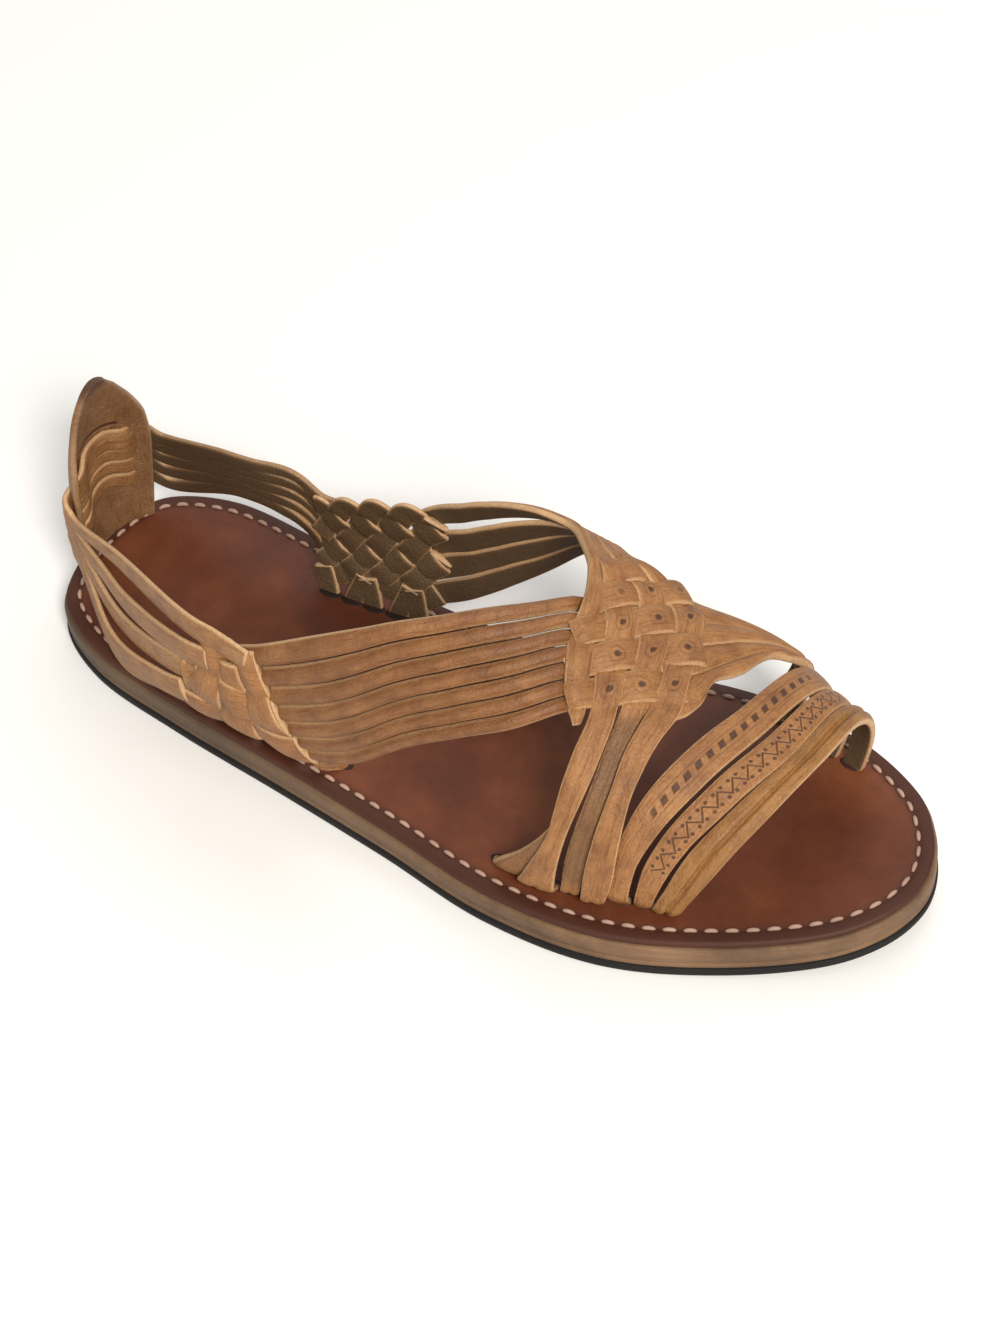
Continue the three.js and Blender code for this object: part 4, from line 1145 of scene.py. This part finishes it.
def endStrip():
    # The plait's last strip goes down along the outer band's lower edge into a hole in the footbed
    knots = np.concatenate([
        lastPoint(np.array([0.352, 0.378, 0.396]), np.array([17.0, 13.0, 8.0])) + np.array([0.8, 0, 0]),
        [[36.8, 114.5, insoleTop + 2.2], [33.6, 118.2, insoleTop + 0.6], [32.6, 119.0, insoleTop - 1.2]],
    ])
    curve = splineThrough(knots, 60)
    t = np.linspace(0, 1, 60)[:, None]
    normal = (1 - t) * np.array([0.95, 0, 0.3]) + t * np.array([0.6, 0.1, 0.8])
    return ribbon(curve, normal, 4.2 - 1.6 * t[:, 0], 1.6, 18, 71.0)


makeMesh("outerPlait", outerPlaitParts() + rootParts("outer") + [endStrip()], tanStrap)
makeMesh("innerPlait", innerPlaitParts() + rootParts("inner"), shadeStrap)
print("plaits made")


# Heel tab: a tongue on the footbed's back edge, curved round the heel and leaning back at its tip

tab = {
    "height": 67.0,
    "width": 42.0,
    "thickness": 2.6,
    "radius": 20.0,
    "centre": -6.0,
    "lean": 9.0,
    "up": np.array([0, 0.20, 0.45, 0.64, 0.76, 0.88, 0.96, 1.0]),
    "half": np.array([0.40, 0.46, 0.50, 0.46, 0.36, 0.23, 0.12, 0.03]),
}


def tabPoint(dx, up, offset):
    # On a cylinder of the tab's radius, turned by dx / radius, that leans back by up^3 and bulges in
    # the middle; offset is the distance behind the tab's middle sheet
    turn = dx / tab["radius"]
    bulge = 1.2 * np.sin(np.pi * np.minimum(1, up * 1.3))
    back = 3.0 + tab["radius"] + tab["lean"] * up ** 3 - bulge
    x = tab["centre"] + (tab["radius"] + offset) * np.sin(turn)
    y = back - (tab["radius"] + offset) * np.cos(turn)
    return np.stack([x, y, insoleTop + up * tab["height"]], axis=-1)


def makeTab():
    steps, columns = 140, 60
    up = np.linspace(0, 1, steps) ** 0.85
    up = np.concatenate([[-0.02], up])
    place = np.interp(up, tab["up"], np.arange(len(tab["up"])))
    half = smoothColumn(tab["half"], place) * tab["width"]
    half = np.where(up > 0.96, tab["width"] * 0.12 * np.sqrt(np.clip((1.0 - up) / 0.04, 0, 1)) + 0.3, half)
    up = np.minimum(up, 1.0)
    across, rise = section(columns, 0.3)
    across = across[None, :] * np.ones((len(up), 1))
    rise = rise[None, :] * np.ones((len(up), 1))
    dx = (across - 0.5) * 2 * half[:, None]
    level = up[:, None] * np.ones((1, columns))
    points = tabPoint(dx, level, (rise - 0.5) * tab["thickness"])
    front = np.clip(1 - rise * 2, 0, 1)
    rim = np.clip(1 - np.minimum(across, 1 - across) * 2 * half[:, None] / 0.8, 0, 1)
    stamp = np.maximum(front * (level > 0.05), blend(level, 0.9, 1))
    shade = np.stack([rim * 0.3 * (1 - blend(level, 0.7, 0.9)), front * 0, stamp], -1)
    return {
        "points": points.reshape(-1, 3),
        "faces": tubeFaces(len(up), columns),
        "uv": np.stack([level * tab["height"], dx], -1).reshape(-1, 2),
        "stampMap": np.stack([dx, level * tab["height"]], -1).reshape(-1, 2),
        "shade": shade.reshape(-1, 3),
    }


tongue = makeMesh("heelTab", [makeTab()], tabLeather)
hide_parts("heel_tab")


# Heel strips: five strips of leather from the outer plait, through the tab's slits, to the inner plait

heelStrips = {
    "count": 5,
    "width": 4.5,
    "spread": 8.8,  # width where they fan out, on the outer side
    "thickness": 1.8,
    "foot": 21.0,  # height of the lowest strip on the tab, and of the rest above it
    "height": 19.0,
    "sag": 9.0,
    "raised": (4.0, 3.4, 2.0, 3.2, 1.6),  # off the last at the outer plait
    "clear": 1.2,  # from the tab's face to a strip's middle
    "steps": 280,
    "columns": 24,
}


def heelStrip(k):
    # Knots of strip k's middle line, k = 0 being the upper one
    share = (k / (heelStrips["count"] - 1)) ** 1.25
    off = tab["thickness"] / 2 + heelStrips["clear"]

    def onLast(along, angle):
        return lastPoint(np.array([along]), np.array([float(angle)]))[0]

    def atTab(dx, side):
        rise = heelStrips["foot"] + heelStrips["height"] * (1 - share) - heelStrips["sag"] * (dx / 20) ** 2
        return tabPoint(np.array([float(dx)]), np.array([rise / tab["height"]]), side * off)[0]

    def between(a, b):
        return a + (b - a) * share

    outerEdge = onLast(between(0.285, 0.205), between(52, 9))
    start = atTab(22, 1)
    ends = [onLast(0.352, 49)] if k == 0 else []
    fan = between(start + (outerEdge - start) * 0.42, onLast(0.150, 9))
    # (mm across, side of the tab): behind it at its edges, and in front of it between its slits
    tabKnots = [(22, 1), (18, 1), (13, -1), (5, -1), (-4, -1), (-12, -1), (-17, 1), (-23, 1)]
    inner = [(0.160, 123, 137), (0.225, 122, 138), (0.262, 129, 158), (0.280, 130, 162)]
    return np.array(
        ends + [onLast(between(0.318, 0.240), between(51, 13)), outerEdge, fan]
        + [atTab(dx, side) for dx, side in tabKnots]
        + [onLast(along, between(high, low)) for along, high, low in inner])


parts = []
for k in range(heelStrips["count"]):
    curve = splineThrough(heelStrip(k), heelStrips["steps"])
    tangent = np.gradient(curve, axis=0)
    normal = np.cross(tangent, (0, 0, 1))
    away = np.sign(np.sum(normal * (curve - np.array([0, 70, 0])), axis=1, keepdims=True))
    normal = normal * away / np.linalg.norm(normal, axis=1, keepdims=True)
    t = np.linspace(0, 1, heelStrips["steps"])
    wider = (heelStrips["spread"] - heelStrips["width"]) * (1 - blend(t, 0.16, 0.42))
    raised = heelStrips["raised"][k] * (1 - blend(t, 0.02, 0.46)) + 3.4 * blend(t, 0.86, 0.95)
    raised = raised + 0.7 * (k % 2) * (1 - blend(t, 0.2, 0.3))
    curve = curve + normal * raised[:, None]
    part = ribbon(curve, normal, heelStrips["width"] + wider, heelStrips["thickness"], heelStrips["columns"],
                  29.0 * k, 0.5, dome=0.5)
    loops = (1 - blend(curve[:, 1], 13, 17)) * blend(curve[:, 0], -23, -20)
    part["shade"][:, 1] *= np.repeat(1 - loops, heelStrips["columns"])  # the loops show their grain side
    part["shade"][:, 0] *= np.repeat(1 - 0.6 * blend(t, 0.6, 0.65), heelStrips["columns"])
    parts.append(part)
makeMesh("heelStrips", parts, shadeStrap)
print("heel made")


# Stitches round the footbed, and dark patches painted as the shade inside the slots where straps go in

def onFootbed(x, y, rise=0.0):
    return np.array([x, y, insoleTop + toeLift(y) + rise])


def stitchParts():
    ring = insetOutline(soleLook["stitchInset"])
    ring = np.concatenate([ring, ring[:1]])
    run = np.concatenate([[0], np.cumsum(np.linalg.norm(np.diff(ring, axis=0), axis=1))])
    count = int(run[-1] // soleLook["stitchPitch"])
    parts = []
    for k in range(count):
        t = np.linspace(0, 1, 9)
        along = (k + 0.5) / count * run[-1] + (t - 0.5) * soleLook["stitchLength"]
        x, y = (np.interp(along % run[-1], run, ring[:, j]) for j in (0, 1))
        z = insoleTop + toeLift(y) - 0.45 + 0.65 * np.sin(np.pi * t) ** 0.5
        normal = np.tile([0.0, 0.0, 1.0], (9, 1))
        width = soleLook["threadWidth"] * (0.55 + 0.45 * np.sin(np.pi * t) ** 0.4)
        parts.append(ribbon(np.stack([x, y, z], -1), normal, width, 0.8, 8, 3.0 * k, 1.0))
    return parts


makeMesh("stitches", stitchParts(), waxedThread)


slots = {
    "halfWidth": 2.0,
    "longer": 0.9,  # than the strap's foot, at each end
    "halfHeight": 0.35,
    "inside": 2.4,  # the outer front feet stand this far inside the last's edge
    "outer": [(0.741, 0.761), (0.764, 0.777), (0.779, 0.802)],  # toe straps, in shares of the length
    "inner": [(0.797, 0.818), (0.827, 0.846), (0.854, 0.876)],
    "through": (0.750, 0.036, 0.0, 4),  # start, length, space between them and count
    "outerRoots": (0.238, 0.167, 0.1, 5),
    "innerRoots": (0.262, 0.133, 0.1, 5),
    # the hole below the outer band gets a dark patch too, painted as its shade
    "hole": (32.4, 119.4),  # mm, below the outer band
}


def slotRow(key):
    start, length, space, count = slots[key]
    return [(start + length * (k + space) / count, start + length * (k + 1 - space) / count)
            for k in range(count)]


# A flat dark pebble at each strap's foot and at the hole: painted shade that stands for the recess of each slot
def slotShadeParts():
    y0, y1 = routes["overBand"][12, [0, 2]]
    overFeet = [overBand[key][-1][1:] for key in ("short", "first", "second", "third")]
    feet = [(y0 + (y1 - y0) * low, y0 + (y1 - y0) * high, 0.0) for low, high in overFeet]
    feet += [(low, high, 0.0) for low, high in slots["outer"] + slotRow("outerRoots")]
    feet += [(low, high, 180.0) for low, high in slotRow("through") + slots["inner"] + slotRow("innerRoots")]
    parts = []
    for low, high, angle in feet:
        spots = lastPoint(np.array([low, high]), np.array([angle, angle]))
        middle = spots.mean(axis=0)
        outwardX = 1 if angle == 0 else -1
        turned = math.atan2(spots[1, 0] - spots[0, 0], spots[1, 1] - spots[0, 1])
        inside = slots["inside"] if angle == 0 and low > 0.6 else 0.0
        centre = onFootbed(middle[0] + outwardX * (1.0 - inside), middle[1], -0.05)
        half = (slots["halfWidth"], (high - low) * sole["length"] / 2 + slots["longer"], slots["halfHeight"])
        parts.append(pebble(centre, half, -turned))
    parts.append(pebble(onFootbed(*slots["hole"], -0.05), (1.7, 2.1, 0.3)))
    return parts


makeMesh("paintedSlotShades", slotShadeParts(), slotShadeMaterial)
print("stitches and slots made")


# Floor and light

def makeStage():
    floor = bpy.data.meshes.new("floor")
    s = 3.0
    floor.from_pydata([(-s, -s, 0), (s, -s, 0), (s, s, 0), (-s, s, 0)], [], [(0, 1, 2, 3)])
    body = bpy.data.objects.new("floor", floor)
    bpy.context.collection.objects.link(body)
    material, tree, shader = newMaterial("palePaper")
    shader.inputs["Base Color"].default_value = linearColour("#f1efec")
    shader.inputs["Roughness"].default_value = 0.9
    floor.materials.append(material)


lights = {
    "sky": ("#f6f6f6", 0.56),
    "aim": (0, 0, 0.03),
    # place in metres, size, power and colour
    "key": ((0.75, 0.95, 1.25), 0.5, 29, "#fffaf3"),
    "fill": ((-0.9, -0.3, 1.1), 1.0, 5, "#ffffff"),
}


def addLight(name):
    place, size, power, colour = lights[name]
    data = bpy.data.lights.new(name, "AREA")
    data.shape = "DISK"
    data.size = size
    data.energy = power
    data.color = linearColour(colour)[:3]
    body = bpy.data.objects.new(name, data)
    bpy.context.collection.objects.link(body)
    body.location = place
    body.rotation_mode = "QUATERNION"
    body.rotation_quaternion = (Vector(place) - Vector(lights["aim"])).to_track_quat("Z", "Y")


makeStage()
world = bpy.data.worlds.new("softSky")
world.use_nodes = True
skyColour, skyStrength = lights["sky"]
world.node_tree.nodes["Background"].inputs["Color"].default_value = linearColour(skyColour)
world.node_tree.nodes["Background"].inputs["Strength"].default_value = skyStrength
bpy.context.scene.world = world
bpy.context.scene.view_settings.view_transform = "Standard"
addLight("key")
addLight("fill")
print("stage made")
